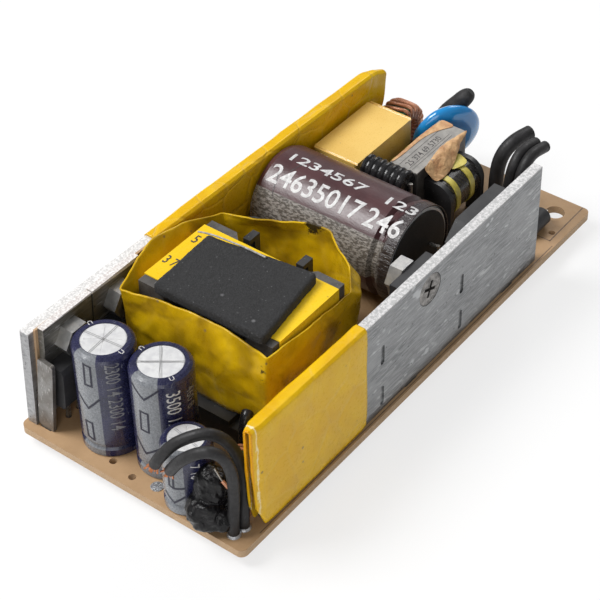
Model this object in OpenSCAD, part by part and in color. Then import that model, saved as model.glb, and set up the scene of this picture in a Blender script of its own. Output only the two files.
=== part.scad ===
// Open frame power supply: a single sided board that carries two plate heatsinks,
// a shell type transformer in a loose tape wrap, the reservoir capacitor laid across
// the board, the mains filter at one end and the output filter at the other.
//
// Origin: the middle of the board in plan, on the plane that the clipped leads rest on.
// X runs from the output end to the mains end, Y from the primary heatsink to the
// secondary heatsink, and Z is up. Heights called h are counted from the board's top.

/* [Board] */
// Length of the board, output end to mains end
board_l = 101.5; // [99:0.5:106]
// Width of the board, heatsink to heatsink
board_w = 46; // [45:0.5:50]
// Thickness of the board
board_t = 1.5; // [1.2:0.1:2]
// Radius of the board's corners
corner_r = 1.2; // [0.4:0.2:2]
// Length of the clipped leads under the board
tip_h = 2.2; // [1.8:0.1:3]
// Diameter of a mounting hole
mount_d = 3.5; // [3:0.1:4]
// Middle of the mounting holes to the mains end of the board
mount_inset = 4.2; // [3.8:0.1:5]
// Middle of the corner mounting hole to the side of the board
mount_side = 5; // [4:0.1:6]
// Distance between the two mounting holes
mount_pitch = 11; // [10:0.5:13]
// Diameter of a drilled lead hole
lead_hole_d = 1.1; // [1:0.05:1.3]

/* [Heatsinks] */
// Thickness of both heatsink plates
plate_t = 1.8; // [1.5:0.1:2.2]
// Height of the primary plate above the board
primary_h = 20.7; // [20.2:0.1:23]
// Length of the primary plate
primary_l = 76.5; // [72:0.5:80]
// Side of the board to the outer face of the primary plate
primary_inset = 0.9; // [0.6:0.1:1.2]
// Height of the secondary plate above the board
secondary_h = 20.4; // [20.2:0.1:23]
// Fall of the secondary plate's top edge toward the mains end
secondary_fall = 2.8; // [0:0.2:3.2]
// Length of the secondary plate
secondary_l = 90; // [86:0.5:92]
// Side of the board to the outer foot of the secondary plate
secondary_inset = 0.5; // [0.4:0.1:0.8]
// Inward lean of the secondary plate in degrees
secondary_lean = 3.4; // [0:0.2:4]
// Thickness of the insulating strip behind the output rectifiers
strip_t = 0.4; // [0.2:0.1:0.5]
// Thickness of the yellow tape, all layers together
tape_t = 0.35; // [0.2:0.05:0.4]
// Width of a plate's foot
foot_w = 3; // [2:0.5:4]

/* [Packages] */
// Width of an output rectifier's tab
tab_w = 11; // [10:0.2:11.2]
// Thickness of an output rectifier's tab
tab_t = 1.2; // [1:0.1:1.4]
// Height of a tab's top above the board
tab_top = 21; // [20:0.2:22]
// Height of an output rectifier's moulded body
body_h = 8.4; // [7.6:0.2:8.4]
// Thickness of an output rectifier, tab and body
body_t = 4.5; // [4.2:0.1:4.8]
// Width of the switching transistor
mosfet_w = 10.2; // [9.8:0.2:11]
// Height of the switching transistor's top above the board
mosfet_top = 19; // [18.6:0.2:20]
// Height of the switching transistor's body
mosfet_h = 15.6; // [15:0.2:16.2]
// Width of the bridge rectifier
bridge_w = 14.8; // [14:0.2:15.6]
// Height of the bridge rectifier's body
bridge_h = 11.4; // [10.8:0.2:12]
// Thickness of the bridge rectifier
bridge_t = 3.4; // [3:0.1:3.8]

/* [Capacitors] */
// Diameter of the two large output capacitors, sleeve included
output_cap_d = 10.2; // [9.6:0.1:10.4]
// Height of the two large output capacitors
output_cap_h = 20.8; // [18:0.2:22]
// Diameter of the small output capacitor, sleeve included
filter_cap_d = 8.2; // [7.6:0.1:8.4]
// Height of the small output capacitor
filter_cap_h = 13.2; // [11.5:0.1:14]
// Thickness of a capacitor's plastic sleeve
sleeve_t = 0.15; // [0.1:0.05:0.2]
// Diameter of the reservoir capacitor, sleeve included
main_cap_d = 18.3; // [17.6:0.1:18.6]
// Length of the reservoir capacitor
main_cap_l = 29.9; // [28:0.1:30.2]
// Length of the film capacitor
film_l = 17.4; // [16.8:0.1:18]
// Width of the film capacitor
film_w = 9.5; // [8.5:0.1:9.6]
// Height of the film capacitor
film_h = 13.2; // [12:0.1:14.5]

/* [Transformer] */
// Length of the ferrite core across the board
core_w = 27; // [26:0.2:27.4]
// Depth of the ferrite core along the board
core_d = 18.5; // [18:0.1:19]
// Height of the two core halves together
core_h = 19.4; // [18.8:0.1:20.4]
// Thickness of a core half's back plate
core_plate = 3.4; // [3:0.1:3.8]
// Diameter of the core's middle post
post_d = 12; // [11.5:0.1:12.2]
// Height of the core above the board
core_lift = 1.2; // [0.8:0.1:1.6]
// Thickness of the foam pad on the core
pad_t = 2; // [1.5:0.1:2.5]
// Height of the tape wrap's rim above the board
wrap_h = 20.6; // [19:0.2:22]
// Height of the tape wrap's lower edge above the board
wrap_foot = 5.6; // [5.5:0.1:7]

/* [Filter chokes] */
// Length of the common mode choke's core
cm_core_l = 15.5; // [14.5:0.1:15.7]
// Height of the common mode choke above the board
cm_core_h = 13.6; // [13:0.1:14.2]
// Width of the common mode choke's core across the board
cm_core_w = 5.7; // [5:0.1:6]
// Thickness of the common mode choke's core legs
cm_leg = 2.3; // [2:0.1:2.5]
// Width of the common mode choke's winding across the board
cm_coil_w = 15.8; // [14:0.1:16]
// Outer diameter of the line choke, wire included
line_choke_d = 10.2; // [9.6:0.1:10.4]
// Thickness of the line choke, wire included
line_choke_t = 5.8; // [5:0.1:6]
// Number of turns on the line choke
line_choke_turns = 17; // [12:1:18]
// Diameter of the varistor disc
disc_d = 12; // [11:0.1:12.2]
// Thickness of the varistor disc
disc_t = 3.8; // [3.2:0.1:4]

/* [Hidden] */

$fn = 48;
eps = 0.01;
board_top = tip_h + board_t;
air = 0.05;             // gap between pieces that lie against each other
lead_d = 0.7;           // round tinned wire
land_t = 0.1;           // solder coated copper under the board

// Faces that the packages and the tape lie against
primary_outer_y = -(board_w / 2 - primary_inset);
primary_inner_y = primary_outer_y + plate_t;
primary_far_x = 33;
primary_near_x = primary_far_x - primary_l;
secondary_foot_y = board_w / 2 - secondary_inset - plate_t;
secondary_near_x = -49.3;
secondary_far_x = secondary_near_x + secondary_l;
function secondary_top(x) =
    secondary_h - secondary_fall * (x - secondary_near_x) / secondary_l;

// Middles of the upright parts, [x, y]
cap_room = 0.2;
cap_a_at = [-43.4, secondary_foot_y - 11.5];
cap_b_at = cap_a_at + [1.4, -output_cap_d - cap_room];
cap_c_at = cap_b_at - [4.6, filter_cap_d];
cap_pitch = 5;
cap_c_pitch = 3.5;
main_cap_x = 12.8;
main_cap_left_y = secondary_foot_y - 1.5;
film_at = [22.3 + film_l / 2, secondary_foot_y - 2 - film_w / 2];
film_near_y = film_at[1] - film_w / 2;
film_pitch = 15;
core_at = [-20.4, 0.6];
cm_coil_shift = -0.8;           // the winding sits off the core's middle
choke_at = [26.5 + cm_core_l / 2,
    film_near_y - cap_room - cm_coil_w / 2 - cm_coil_shift];
line_choke_at = [45.6, secondary_foot_y - 4.5];
disc_at = [45.12, line_choke_at[1] - 10.1];
disc_turn = -32;
disc_lean = 9;
disc_pitch = 5;
mosfet_x = -0.5;
bridge_x = 11.4;
rectifier_x = [-47.6, -36.3];
opto_at = [-20.8, primary_inner_y + 3.8];
safety_at = [-12.4, primary_inner_y + 3.7];

// ---------------------------------------------------------------- helpers
function spread(at, pitch, turn = 0) =
    [for (s = [-0.5, 0.5]) at + s * pitch * [cos(turn), sin(turn)]];

module above_board(x, y, h = 0) translate([x, y, board_top + h]) children();

module rounded(size, r) {
    for (sx = [-1, 1], sy = [-1, 1])
        translate([sx * (size[0] / 2 - r), sy * (size[1] / 2 - r)]) circle(r = r);
    square([size[0] - 2 * r, size[1]], center = true);
    square([size[0], size[1] - 2 * r], center = true);
}

// A box given by its two opposite corners
module span(a, b) translate(a) cube(b - a);

// A closed loft through rings of equal length, each ring a list of [x, y, z]. The rings
// of a folded sheet run out along one face and back along the other.
module loft(rings, folded = false) {
    n = len(rings);
    m = len(rings[0]);
    last = (n - 1) * m;
    polyhedron(points = [for (r = rings) each r], convexity = 8,
        faces = concat(
            [for (i = [0:n - 2], j = [0:m - 1])
                let (a = i * m + j, b = i * m + (j + 1) % m) each
                [[a, b, b + m], [a, b + m, a + m]]],
            folded ? [for (j = [0:m / 2 - 2]) let (k = m - 1 - j) each
                [[j, k - 1, j + 1], [j, k, k - 1],
                 [last + j, last + j + 1, last + k - 1],
                 [last + j, last + k - 1, last + k]]]
            : [[for (j = [m - 1:-1:0]) j], [for (j = [0:m - 1]) last + j]]));
}

// A round cord swept along route points [x, y, h], softened by a spline
function unit(v) = v / norm(v);
function bend(p, i, t) =
    let (n = len(p), a = p[max(i - 1, 0)], b = p[i], c = p[i + 1],
         d = p[min(i + 2, n - 1)])
    0.5 * (2 * b + (c - a) * t + (2 * a - 5 * b + 4 * c - d) * t * t
        + (3 * b - a - 3 * c + d) * t * t * t);
function from(at, route) = [for (p = route) [at[0] + p[0], at[1] + p[1], p[2]]];
function softened(p, steps) =
    concat([for (i = [0:len(p) - 2], k = [0:steps - 1]) bend(p, i, k / steps)],
        [p[len(p) - 1]]);
module cord(route, d, steps = 2, sides = 8, tip = 1) {
    p = softened(route, steps);
    n = len(p);
    tangents = [for (i = [0:n - 1]) unit(p[min(i + 1, n - 1)] - p[max(i - 1, 0)])];
    guide = [0.31, 0.95, 0.05];
    translate([0, 0, board_top])
        loft([for (i = [0:n - 1])
            let (t = tangents[i], u = unit(cross(guide, t)), v = cross(t, u),
                 r = i == n - 1 ? d * tip / 2 : d / 2)
            [for (k = [0:sides - 1])
                p[i] + r * (cos(360 * k / sides) * u + sin(360 * k / sides) * v)]]);
}

// ------------------------------------------------------- leads and holes
transistor_pitch = 2.54;
bridge_pitch = 3.8;
package_lead_inset = 2.3;       // lead row to the face the package lies against
mosfet_lead_at = [for (i = [-1:1])
    [mosfet_x + i * transistor_pitch, primary_inner_y + package_lead_inset]];
bridge_lead_at = [for (i = [-1.5:1.5])
    [bridge_x + bridge_w / 2 + i * bridge_pitch, primary_inner_y + bridge_t / 2]];
rectifier_lead_y = -strip_t - package_lead_inset;
rectifier_lead_at = [for (x = rectifier_x, i = [-1:1])
    [x + tab_w / 2 + i * transistor_pitch, secondary_foot_y + rectifier_lead_y]];
main_lead_y = main_cap_left_y - main_cap_l - 1.6;
main_lead_at = spread([main_cap_x, main_lead_y], 7.5);
pin_row = 12.6;
pin_pitch = 4.4;
core_pins = [for (s = [-1, 1], i = [-2:2]) core_at + [s * pin_row, i * pin_pitch]];
cm_pins = [for (s = [-1, 1], q = [-1, 1])
    choke_at + [s * (cm_core_l / 2 - cm_leg - 0.9), q * (cm_coil_w / 2 - 1.5)]];
disc_lead_at = spread(disc_at + [0.35, 0.85], disc_pitch, disc_turn);
capacitor_points = concat(spread(cap_a_at, cap_pitch), spread(cap_b_at, cap_pitch),
    spread(cap_c_at, cap_c_pitch), main_lead_at, spread(film_at, film_pitch),
    disc_lead_at, spread(safety_at, 5));
line_lead_at = [for (s = [-1, 1]) line_choke_at + [0, s * (line_choke_t / 2 - 0.5)]];
inductor_x = 24;
inductor_l = 9.2;
inductor_y = [film_near_y - 0.9, film_near_y - 0.9 - inductor_l];
inductor_lead_at = [[inductor_x, inductor_y[0] + 0.5], [inductor_x, inductor_y[1] - 0.5]];
diode_x = [37.6, 42.6];
diode_y = primary_inner_y + 2.5;
diode_lead_at = [[diode_x[0] - 0.8, diode_y], [diode_x[1] + 0.8, diode_y]];
opto_lead_at = [for (s = [-1, 1], q = [-1, 1]) opto_at + [s * 3.9, q * 1.27]];
fuse_at = disc_at + [3, 3.8];
output_pad_at = [[-48.6, -19.6], [-46.5, -19.9]];
output_choke_at = [-40.2, primary_inner_y + 5.4];
choke_hole_at = output_choke_at - [4.4, 3.8];
spare_hole_at = [[-48, 5.4], [-48.8, 0.7]];
star_pad_at = [-48.1, -3.8];
leads_at = concat(mosfet_lead_at, bridge_lead_at, rectifier_lead_at, core_pins, cm_pins,
    capacitor_points, line_lead_at, inductor_lead_at, diode_lead_at, opto_lead_at,
    [fuse_at], [choke_hole_at]);
mount_at = [for (i = [0, 1]) [board_l / 2 - mount_inset,
    -board_w / 2 + mount_side + i * mount_pitch]];
primary_feet_x = [for (s = [0.12, 0.5, 0.88]) primary_near_x + s * primary_l];
secondary_feet_x = [for (s = [0.1, 0.5, 0.9]) secondary_near_x + s * secondary_l];
foot_room = 0.15;

// A wire that stands on the lands and rises to h above the board
module wire(at, h, d = lead_d)
    translate([at[0], at[1], tip_h]) cylinder(d = d, h = board_t + h, $fn = 16);

// A wire that lies between two points given as [x, y, h]
module wire_run(a, b, d = lead_d) {
    v = b - a;
    translate([a[0], a[1], board_top + a[2]])
        rotate([0, acos(v[2] / norm(v)), atan2(v[1], v[0])])
            cylinder(d = d, h = norm(v), $fn = 16);
}

// ---------------------------------------------------------------- board
module board() color("burlywood") difference() {
    translate([0, 0, tip_h]) linear_extrude(board_t)
        rounded([board_l, board_w], corner_r);
    for (p = leads_at) drilled(p, lead_hole_d);
    for (p = spare_hole_at) drilled(p, 1.3);
    drilled([41.2, -20.6], 1.2);
    for (p = mount_at) drilled(p, mount_d);
    for (x = primary_feet_x) foot_slot(x, primary_outer_y + plate_t / 2);
    for (x = secondary_feet_x) foot_slot(x, secondary_foot_y + plate_t / 2);
    foot_slot(strip_x + strip_foil / 2, strip_y, [strip_foil, 2]);
}

module drilled(at, d)
    translate([at[0], at[1], tip_h - 1]) cylinder(d = d, h = board_t + 2, $fn = 24);

module foot_slot(x, y, size = [foot_w, plate_t])
    translate([x, y, board_top - board_t / 2])
        cube([size[0] + 2 * foot_room, size[1] + 2 * foot_room, board_t + 2],
            center = true);

// Copper left on the underside: pads at the leads, joined by broad tracks
module solder_lands() color("silver")
    translate([0, 0, tip_h - land_t]) linear_extrude(land_t) {
        for (p = concat(leads_at, output_pad_at)) translate(p) circle(d = 2.2, $fn = 8);
        difference() {
            tracks();
            for (p = mount_at) translate(p) circle(d = mount_d + 3);
            for (x = primary_feet_x)
                translate([x, primary_outer_y + plate_t / 2])
                    square([foot_w + 1, plate_t + 1], center = true);
        }
    }

module tracks() {
    for (r = [[[-49, -8.6], [-37, -5]], [[-49, 4.6], [-40, 8]],
              [[-46, 14.5], [-28, 17]], [[-36, 3], [-31.5, 11]],
              [[-35, -10.5], [-31.5, -2]], [[-9.4, 2], [-6, 11]],
              [[-8.5, -10], [1.5, -6.5]], [[7.4, -13.6], [10.6, -5]],
              [[15, -13.6], [18, 2]], [[27, -6.6], [31, -2]],
              [[38, -8], [41.5, -3]], [[22.6, 12], [26, 17]],
              [[38, 12], [41, 17]], [[43.4, 12], [46.8, 20.5]]])
        translate(r[0]) square(r[1] - r[0]);
}

// Solder fillets with the clipped lead tips; the part rests on the tips
module solder_joints() color("gainsboro") {
    fillet_h = 0.9;
    for (p = concat(leads_at, output_pad_at)) translate([p[0], p[1], 0]) {
        translate([0, 0, tip_h - land_t - fillet_h])
            cylinder(r1 = 0.45, r2 = 0.95, h = fillet_h, $fn = 16);
        cylinder(r = 0.36, h = tip_h - land_t - fillet_h + eps, $fn = 16);
    }
    for (p = output_pad_at) above_board(p[0], p[1])
        cylinder(r1 = 1.15, r2 = 0.9, h = 0.5, $fn = 16);
    above_board(star_pad_at[0], star_pad_at[1]) difference() {
        cylinder(d = 2.1, h = 0.12, $fn = 24);
        for (k = [0:4]) rotate(k * 72) translate([0.62, 0, 0.06])
            cylinder(d = 0.5, h = 1, $fn = 16);
    }
}

// Surface mounted parts of the control circuit, on the copper side
module controller_ic() color("dimgray") {
    translate([0, -3, tip_h - land_t]) {
        translate([0, 0, -1.45]) linear_extrude(1.35) square([4.9, 3.9], center = true);
        for (i = [-1.5:1.5], s = [-1, 1]) translate([i * 1.27, s * 2.45, -0.55])
            linear_extrude(0.55) square([0.42, 1.0], center = true);
    }
}

module chip_parts() color("darkslategray")
    for (p = [[-5, -3, 0], [-5, 0, 0], [5, -2, 90], [5, 3, 90], [-3, 3, 0],
              [-28, 0, 90], [-24, -4, 0], [-18, 4, 0], [22, 6, 90], [33, 8, 0]])
        translate([p[0], p[1], tip_h - 0.6]) rotate(p[2])
            linear_extrude(0.6) square([2, 1.25], center = true);

// ---------------------------------------------- parts behind the heatsinks
module optocoupler() color("ivory") {
    body = [6.4, 4.6, 3.4];
    lift = 0.5;
    above_board(opto_at[0], opto_at[1], lift) linear_extrude(body[2])
        square([body[0], body[1]], center = true);
    for (p = opto_lead_at) {
        translate([p[0] - 0.25, p[1] - 0.3, tip_h])
            cube([0.5, 0.6, board_t + lift + body[2] / 2]);
        above_board((p[0] + opto_at[0] + sign(p[0] - opto_at[0]) * body[0] / 2) / 2, p[1],
            lift + body[2] / 2 - 0.15) cube([0.9, 0.6, 0.3], center = true);
    }
}

module lens(d, t) {
    n = 6;
    rotate_extrude() polygon(concat([[0, -t / 2]],
        [for (i = [-n:n]) let (a = i * 90 / (n + 1))
            [d / 2 - 0.55 * t / 2 * (1 - cos(a)), t / 2 * sin(a)]], [[0, t / 2]]));
}

module safety_capacitor() color("royalblue")
    above_board(safety_at[0], safety_at[1], 5.1) rotate([90, 0, 0]) lens(7, 2.8);

// ------------------------------------------------------ primary heatsink
screw_x = mosfet_x;
screw_h = 16.7;
screw_d = 3;
screw_head_d = 5.8;
screw_l = 5.8;
nut_w = 5.5;
nut_t = 2.4;
upper_t = 2.6;                  // transistor thickness round its screw hole

module primary_heatsink() color("lightgray") difference() {
    union() {
        span([primary_near_x, primary_outer_y, board_top],
            [primary_far_x, primary_inner_y, board_top + primary_h]);
        for (x = primary_feet_x)
            span([x - foot_w / 2, primary_outer_y, 0.9],
                [x + foot_w / 2, primary_inner_y, board_top + eps]);
    }
    above_board(screw_x, primary_outer_y, screw_h) screw_room();
    // staking marks left by the press
    for (p = [[-13.5, 3.2], [-13.5, 12.1], [9, 3.3], [9, 11.2]])
        above_board(p[0], primary_outer_y - eps, p[1]) rotate([-90, 0, 0])
            linear_extrude(0.3 + eps) rounded([1, 4], 0.45);
}

// Countersunk hole, its axis along +Y from the face
module screw_room() rotate([-90, 0, 0]) {
    translate([0, 0, -1]) cylinder(d = screw_head_d + 0.2, h = 1.3, $fn = 32);
    translate([0, 0, 0.3 - eps])
        cylinder(d1 = screw_head_d + 0.2, d2 = screw_d + 0.3, h = 1.4, $fn = 32);
    cylinder(d = screw_d + 0.3, h = 12, $fn = 32);
}

// Countersunk cross head screw, its axis along +Y from the face
module screw() rotate([-90, 0, 0]) difference() {
    union() {
        translate([0, 0, 0.05]) cylinder(d = screw_head_d, h = 0.15, $fn = 32);
        translate([0, 0, 0.2])
            cylinder(d1 = screw_head_d, d2 = screw_d, h = 1.3, $fn = 32);
        cylinder(d = screw_d, h = screw_l, $fn = 32);
    }
    for (a = [0, 90]) rotate(a + 20) translate([0, 0, 0.35])
        cube([3.2, 0.6, 1.5], center = true);
    cylinder(d = screw_d + 2, h = 0.05, $fn = 32);
}

module nut() rotate([90, 0, 0]) difference() {
    cylinder(d = nut_w / cos(30), h = nut_t, $fn = 6);
    translate([0, 0, -1]) cylinder(d = screw_d + 0.04, h = nut_t + 2, $fn = 32);
}

tab_hole_h = tab_top - 4.8;
module on_secondary() translate([0, secondary_foot_y, board_top])
    rotate([secondary_lean, 0, 0]) children();

module heatsink_screws() color("dimgray") {
    above_board(screw_x, primary_outer_y, screw_h) screw();
    on_secondary() for (x = rectifier_x)
        translate([x + tab_w / 2, plate_t, tab_hole_h]) mirror([0, 1, 0]) screw();
}

module heatsink_nuts() color("silver") {
    above_board(screw_x, primary_inner_y + upper_t + nut_t, screw_h) nut();
    on_secondary() for (x = rectifier_x)
        translate([x + tab_w / 2, -strip_t - tab_t, tab_hole_h]) nut();
}

// Tape sleeve that rides over a plate's top edge. Each station is
// [x, lower edge, upper edge, clear width, sideways shift of the middle].
module tape_sleeve(stations, t = tape_t) {
    ridge = 0.5;
    loft([for (s = stations)
        let (x = s[0], lo = s[1], hi = s[2], w = s[3] / 2, m = s[4])
        [[x, m - w - t, lo], [x, m - w - t, hi - ridge], [x, m - w - t + ridge, hi],
         [x, m + w + t - ridge, hi], [x, m + w + t, hi - ridge], [x, m + w + t, lo],
         [x, m + w, lo], [x, m + w, hi - t - 0.05], [x, m + w - 0.05, hi - t],
         [x, m - w + 0.05, hi - t], [x, m - w, hi - t - 0.05],
         [x, m - w, lo]]], folded = true);
}

tape_far_x = -18.2;
module primary_tape() color("gold")
    translate([0, (primary_outer_y + primary_inner_y) / 2, board_top])
        tape_sleeve([
            [primary_near_x - 3.2, 14, primary_h + 1.1, 0.7, -0.35],
            [primary_near_x - 2.6, 5, primary_h + 1.2, 1, -0.3],
            [primary_near_x - 1, 0.6, primary_h + 0.9, plate_t, -0.1],
            [primary_near_x + 1, 0.3, primary_h + 0.8, plate_t + 2 * air, 0],
            [-31, 0.3, primary_h + 0.7, plate_t + 2 * air, 0],
            [tape_far_x, 0.3, primary_h + 0.5, plate_t + 2 * air, 0]]);

// Fully moulded transistor: thin round the screw, thick over the die
module mosfet_body() color("dimgray") difference() {
    x0 = mosfet_x - mosfet_w / 2;
    union() {
        span([x0, primary_inner_y, board_top + mosfet_top - mosfet_h + 9],
            [x0 + mosfet_w, primary_inner_y + upper_t, board_top + mosfet_top]);
        translate([x0, 0, board_top + mosfet_top - mosfet_h]) rotate([90, 0, 90])
            linear_extrude(mosfet_w) polygon([[primary_inner_y, 0],
                [primary_inner_y + 4.2, 0], [primary_inner_y + 4.6, 1],
                [primary_inner_y + 4.6, 8.4], [primary_inner_y + upper_t, 9.4],
                [primary_inner_y, 9.4]]);
    }
    above_board(screw_x, primary_inner_y - 1, screw_h) rotate([-90, 0, 0])
        cylinder(d = screw_d + 0.3, h = 8, $fn = 32);
}

module bridge_body() color("dimgray") {
    h0 = mosfet_top - bridge_h;
    cut = 3;
    above_board(bridge_x, primary_inner_y + bridge_t, h0) rotate([90, 0, 0])
        linear_extrude(bridge_t) polygon([[0, 0.6], [0.6, 0], [bridge_w - 0.6, 0],
            [bridge_w, 0.6], [bridge_w, bridge_h], [cut, bridge_h],
            [0, bridge_h - cut]]);
}

// ---------------------------------------------------- secondary heatsink
module secondary_heatsink() color("lightgray") difference() {
    union() {
        on_secondary() translate([0, plate_t, 0]) rotate([90, 0, 0])
            linear_extrude(plate_t) polygon([[secondary_near_x, 0],
                [secondary_far_x, 0], [secondary_far_x, secondary_h - secondary_fall],
                [secondary_near_x, secondary_h]]);
        for (x = secondary_feet_x)
            span([x - foot_w / 2, secondary_foot_y + 0.1, 0.9],
                [x + foot_w / 2, secondary_foot_y + plate_t, board_top + 0.3]);
    }
    on_secondary() for (x = rectifier_x)
        translate([x + tab_w / 2, plate_t, tab_hole_h]) mirror([0, 1, 0]) screw_room();
}

strip_near_x = -48.15;
secondary_tape_x = -19.6;
module secondary_insulator() color("tan") on_secondary() difference() {
    rotate([90, 0, 0]) linear_extrude(strip_t) polygon([[strip_near_x, 1.6],
        [secondary_tape_x - 0.6, 1.6],
        [secondary_tape_x - 0.6, secondary_top(secondary_tape_x) + 0.25],
        [strip_near_x, secondary_top(strip_near_x) + 0.25]]);
    for (x = rectifier_x) translate([x + tab_w / 2, 1, tab_hole_h]) rotate([90, 0, 0])
        cylinder(d = screw_d + 0.3, h = 4, $fn = 32);
}

module secondary_tape() color("gold") on_secondary()
    translate([0, plate_t / 2, 0]) tape_sleeve([
        for (p = [[0, 0.4, 0.42, 1, 0], [0.3, 0.4, 0.5, 1, 0], [0.65, 0.4, 0.5, 1, 0],
                  [1, 0.4, 0.42, 1, 0], [1.04, 4, 0.1, 0.6, -0.3],
                  [1.08, 10, -0.8, 0.4, -0.8]])
            let (x = secondary_tape_x + p[0] * (secondary_far_x - secondary_tape_x))
            [x, p[1], secondary_top(x) + p[2], p[3] * (plate_t + 2 * air), p[4]]]);

module rectifier_tabs() color("silver") on_secondary() for (x = rectifier_x)
    difference() {
        span([x, -strip_t - tab_t, body_foot], [x + tab_w, -strip_t, tab_top]);
        translate([x + tab_w / 2, 1, tab_hole_h]) rotate([90, 0, 0])
            cylinder(d = screw_d + 0.3, h = 6, $fn = 32);
    }

body_foot = 5;
module rectifier_bodies() color("dimgray") on_secondary() for (x = rectifier_x)
    translate([x + 0.3, 0, body_foot]) rotate([90, 0, 90])
        linear_extrude(tab_w - 0.6) polygon([[-strip_t - tab_t, 0],
            [-strip_t - tab_t, body_h], [-strip_t - body_t + 0.5, body_h],
            [-strip_t - body_t, body_h - 0.8], [-strip_t - body_t, 0.6],
            [-strip_t - body_t + 0.4, 0]]);

module package_leads() color("silver") {
    for (p = mosfet_lead_at) flat_lead(p, mosfet_top - mosfet_h);
    for (p = bridge_lead_at) wire(p, mosfet_top - bridge_h, 0.8);
    on_secondary() for (x = rectifier_x, i = [-1:1])
        translate([x + tab_w / 2 + i * transistor_pitch - 0.35,
            rectifier_lead_y - 0.25, -board_t + 0.15])
            cube([0.7, 0.5, body_foot + board_t - 0.15]);
}

module flat_lead(at, h) translate([at[0] - 0.35, at[1] - 0.25, tip_h])
    cube([0.7, 0.5, board_t + h]);

// Upright tinned strip at the output end of the secondary plate
strip_w = 3.2;
strip_h = 15.4;
strip_foil = 0.7;
strip_x = -48.9;
strip_y = 19;
strip_lean = 7;
module tinned_strip() color("silver") {
    above_board(strip_x, strip_y, 0) rotate([strip_lean, 0, 0]) rotate([90, 0, 90])
        linear_extrude(strip_foil) {
            r = 0.5;
            translate([-strip_w / 2, 0.2]) square([strip_w, strip_h - r - 0.2]);
            translate([-strip_w / 2 + r, 0.2]) square([strip_w - 2 * r, strip_h - 0.2]);
            for (s = [-1, 1]) translate([s * (strip_w / 2 - r), strip_h - r])
                circle(r = r, $fn = 24);
        }
    span([strip_x, strip_y - 1, 0.9], [strip_x + strip_foil, strip_y + 1, board_top + 0.5]);
}

// ------------------------------------------------------------ capacitors
UPRIGHT = [[cap_a_at, output_cap_d, output_cap_h], [cap_b_at, output_cap_d, output_cap_h],
    [cap_c_at, filter_cap_d, filter_cap_h]];
bung_t = 1.2;
lip = 0.28;                     // sleeve turned over the can's edge, share of diameter

module capacitor_cans() color("whitesmoke") for (c = UPRIGHT) {
    d = c[1] - 2 * sleeve_t;
    h = c[2];
    above_board(c[0][0], c[0][1]) difference() {
        rotate_extrude() polygon([[0, bung_t], [d / 2 - 0.2, bung_t], [d / 2 - 0.2, 0.1],
            [d / 2, 0.3], [d / 2, 1.4], [d / 2 - 0.35, 1.8], [d / 2 - 0.35, 2.3],
            [d / 2, 2.7], [d / 2, h - 0.9], [d / 2 - 0.25, h - 0.45],
            [d / 2 - 0.75, h - sleeve_t - 0.03], [d * 0.36, h - sleeve_t - 0.03],
            [d * 0.36, h - 0.1], [0, h - 0.1]]);
        // scored vent cross
        for (a = [35, 125]) rotate(a) translate([0, 0, h - 0.1])
            cube([d * 0.62, 0.2, 0.16], center = true);
    }
}

module capacitor_sleeves() color("midnightblue") for (c = UPRIGHT) {
    d = c[1];
    h = c[2];
    s = sleeve_t;
    above_board(c[0][0], c[0][1]) rotate_extrude() polygon([
        [d / 2 - s, 0.2], [d / 2, 0.2], [d / 2, 1.4], [d / 2 - 0.35, 1.8],
        [d / 2 - 0.35, 2.3], [d / 2, 2.7], [d / 2, h - 0.9], [d / 2 - 0.25, h - 0.4],
        [d / 2 - 0.75, h], [d * 0.36, h], [d * 0.36, h - s],
        [d / 2 - 0.75 - s / 2, h - s], [d / 2 - 0.25 - s, h - 0.45], [d / 2 - s, h - 0.9],
        [d / 2 - s, 2.7], [d / 2 - 0.35 - s, 2.3], [d / 2 - 0.35 - s, 1.8],
        [d / 2 - s, 1.4]]);
}

module capacitor_bungs() color("black") for (c = UPRIGHT)
    above_board(c[0][0], c[0][1]) cylinder(d = c[1] - 2 * sleeve_t - 0.4, h = bung_t);

module capacitor_leads() color("silver") {
    for (p = concat(spread(cap_a_at, cap_pitch), spread(cap_b_at, cap_pitch),
        spread(cap_c_at, cap_c_pitch))) wire(p, 0);
    for (p = spread(film_at, film_pitch)) wire(p, film_lift);
    for (p = spread(safety_at, 5)) wire(p, 2.6);
    for (p = main_lead_at) {
        wire(p, main_cap_d / 2 + lead_d / 2);
        wire_run([p[0], p[1], main_cap_d / 2],
            [p[0], main_cap_left_y - main_cap_l, main_cap_d / 2]);
    }
}

// The reservoir capacitor lies on the board, its leads toward the primary plate
module along_main() above_board(main_cap_x, main_cap_left_y, main_cap_d / 2)
    rotate([90, 0, 0]) children();

module main_cap_can() color("silver") {
    d = main_cap_d - 2 * sleeve_t;
    l = main_cap_l;
    along_main() rotate_extrude() polygon([[0, 0.1], [d * 0.37, 0.1],
        [d * 0.37, sleeve_t + 0.03], [d / 2 - 1.2, sleeve_t + 0.03], [d / 2 - 0.35, 0.6], [d / 2, 1.4],
        [d / 2, l - 4.4], [d / 2 - 0.8, l - 3.8], [d / 2 - 0.8, l - 3], [d / 2, l - 2.4],
        [d / 2, l - 0.6], [d / 2 - 0.4, l - 0.2], [d / 2 - 0.8, l - 0.2],
        [d / 2 - 0.8, l - main_bung_t], [0, l - main_bung_t]]);
}

main_bung_t = 2.2;
module main_cap_bung() color("black") along_main()
    translate([0, 0, main_cap_l - main_bung_t])
        cylinder(d = main_cap_d - 2 * sleeve_t - 1.6, h = main_bung_t);

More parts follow.
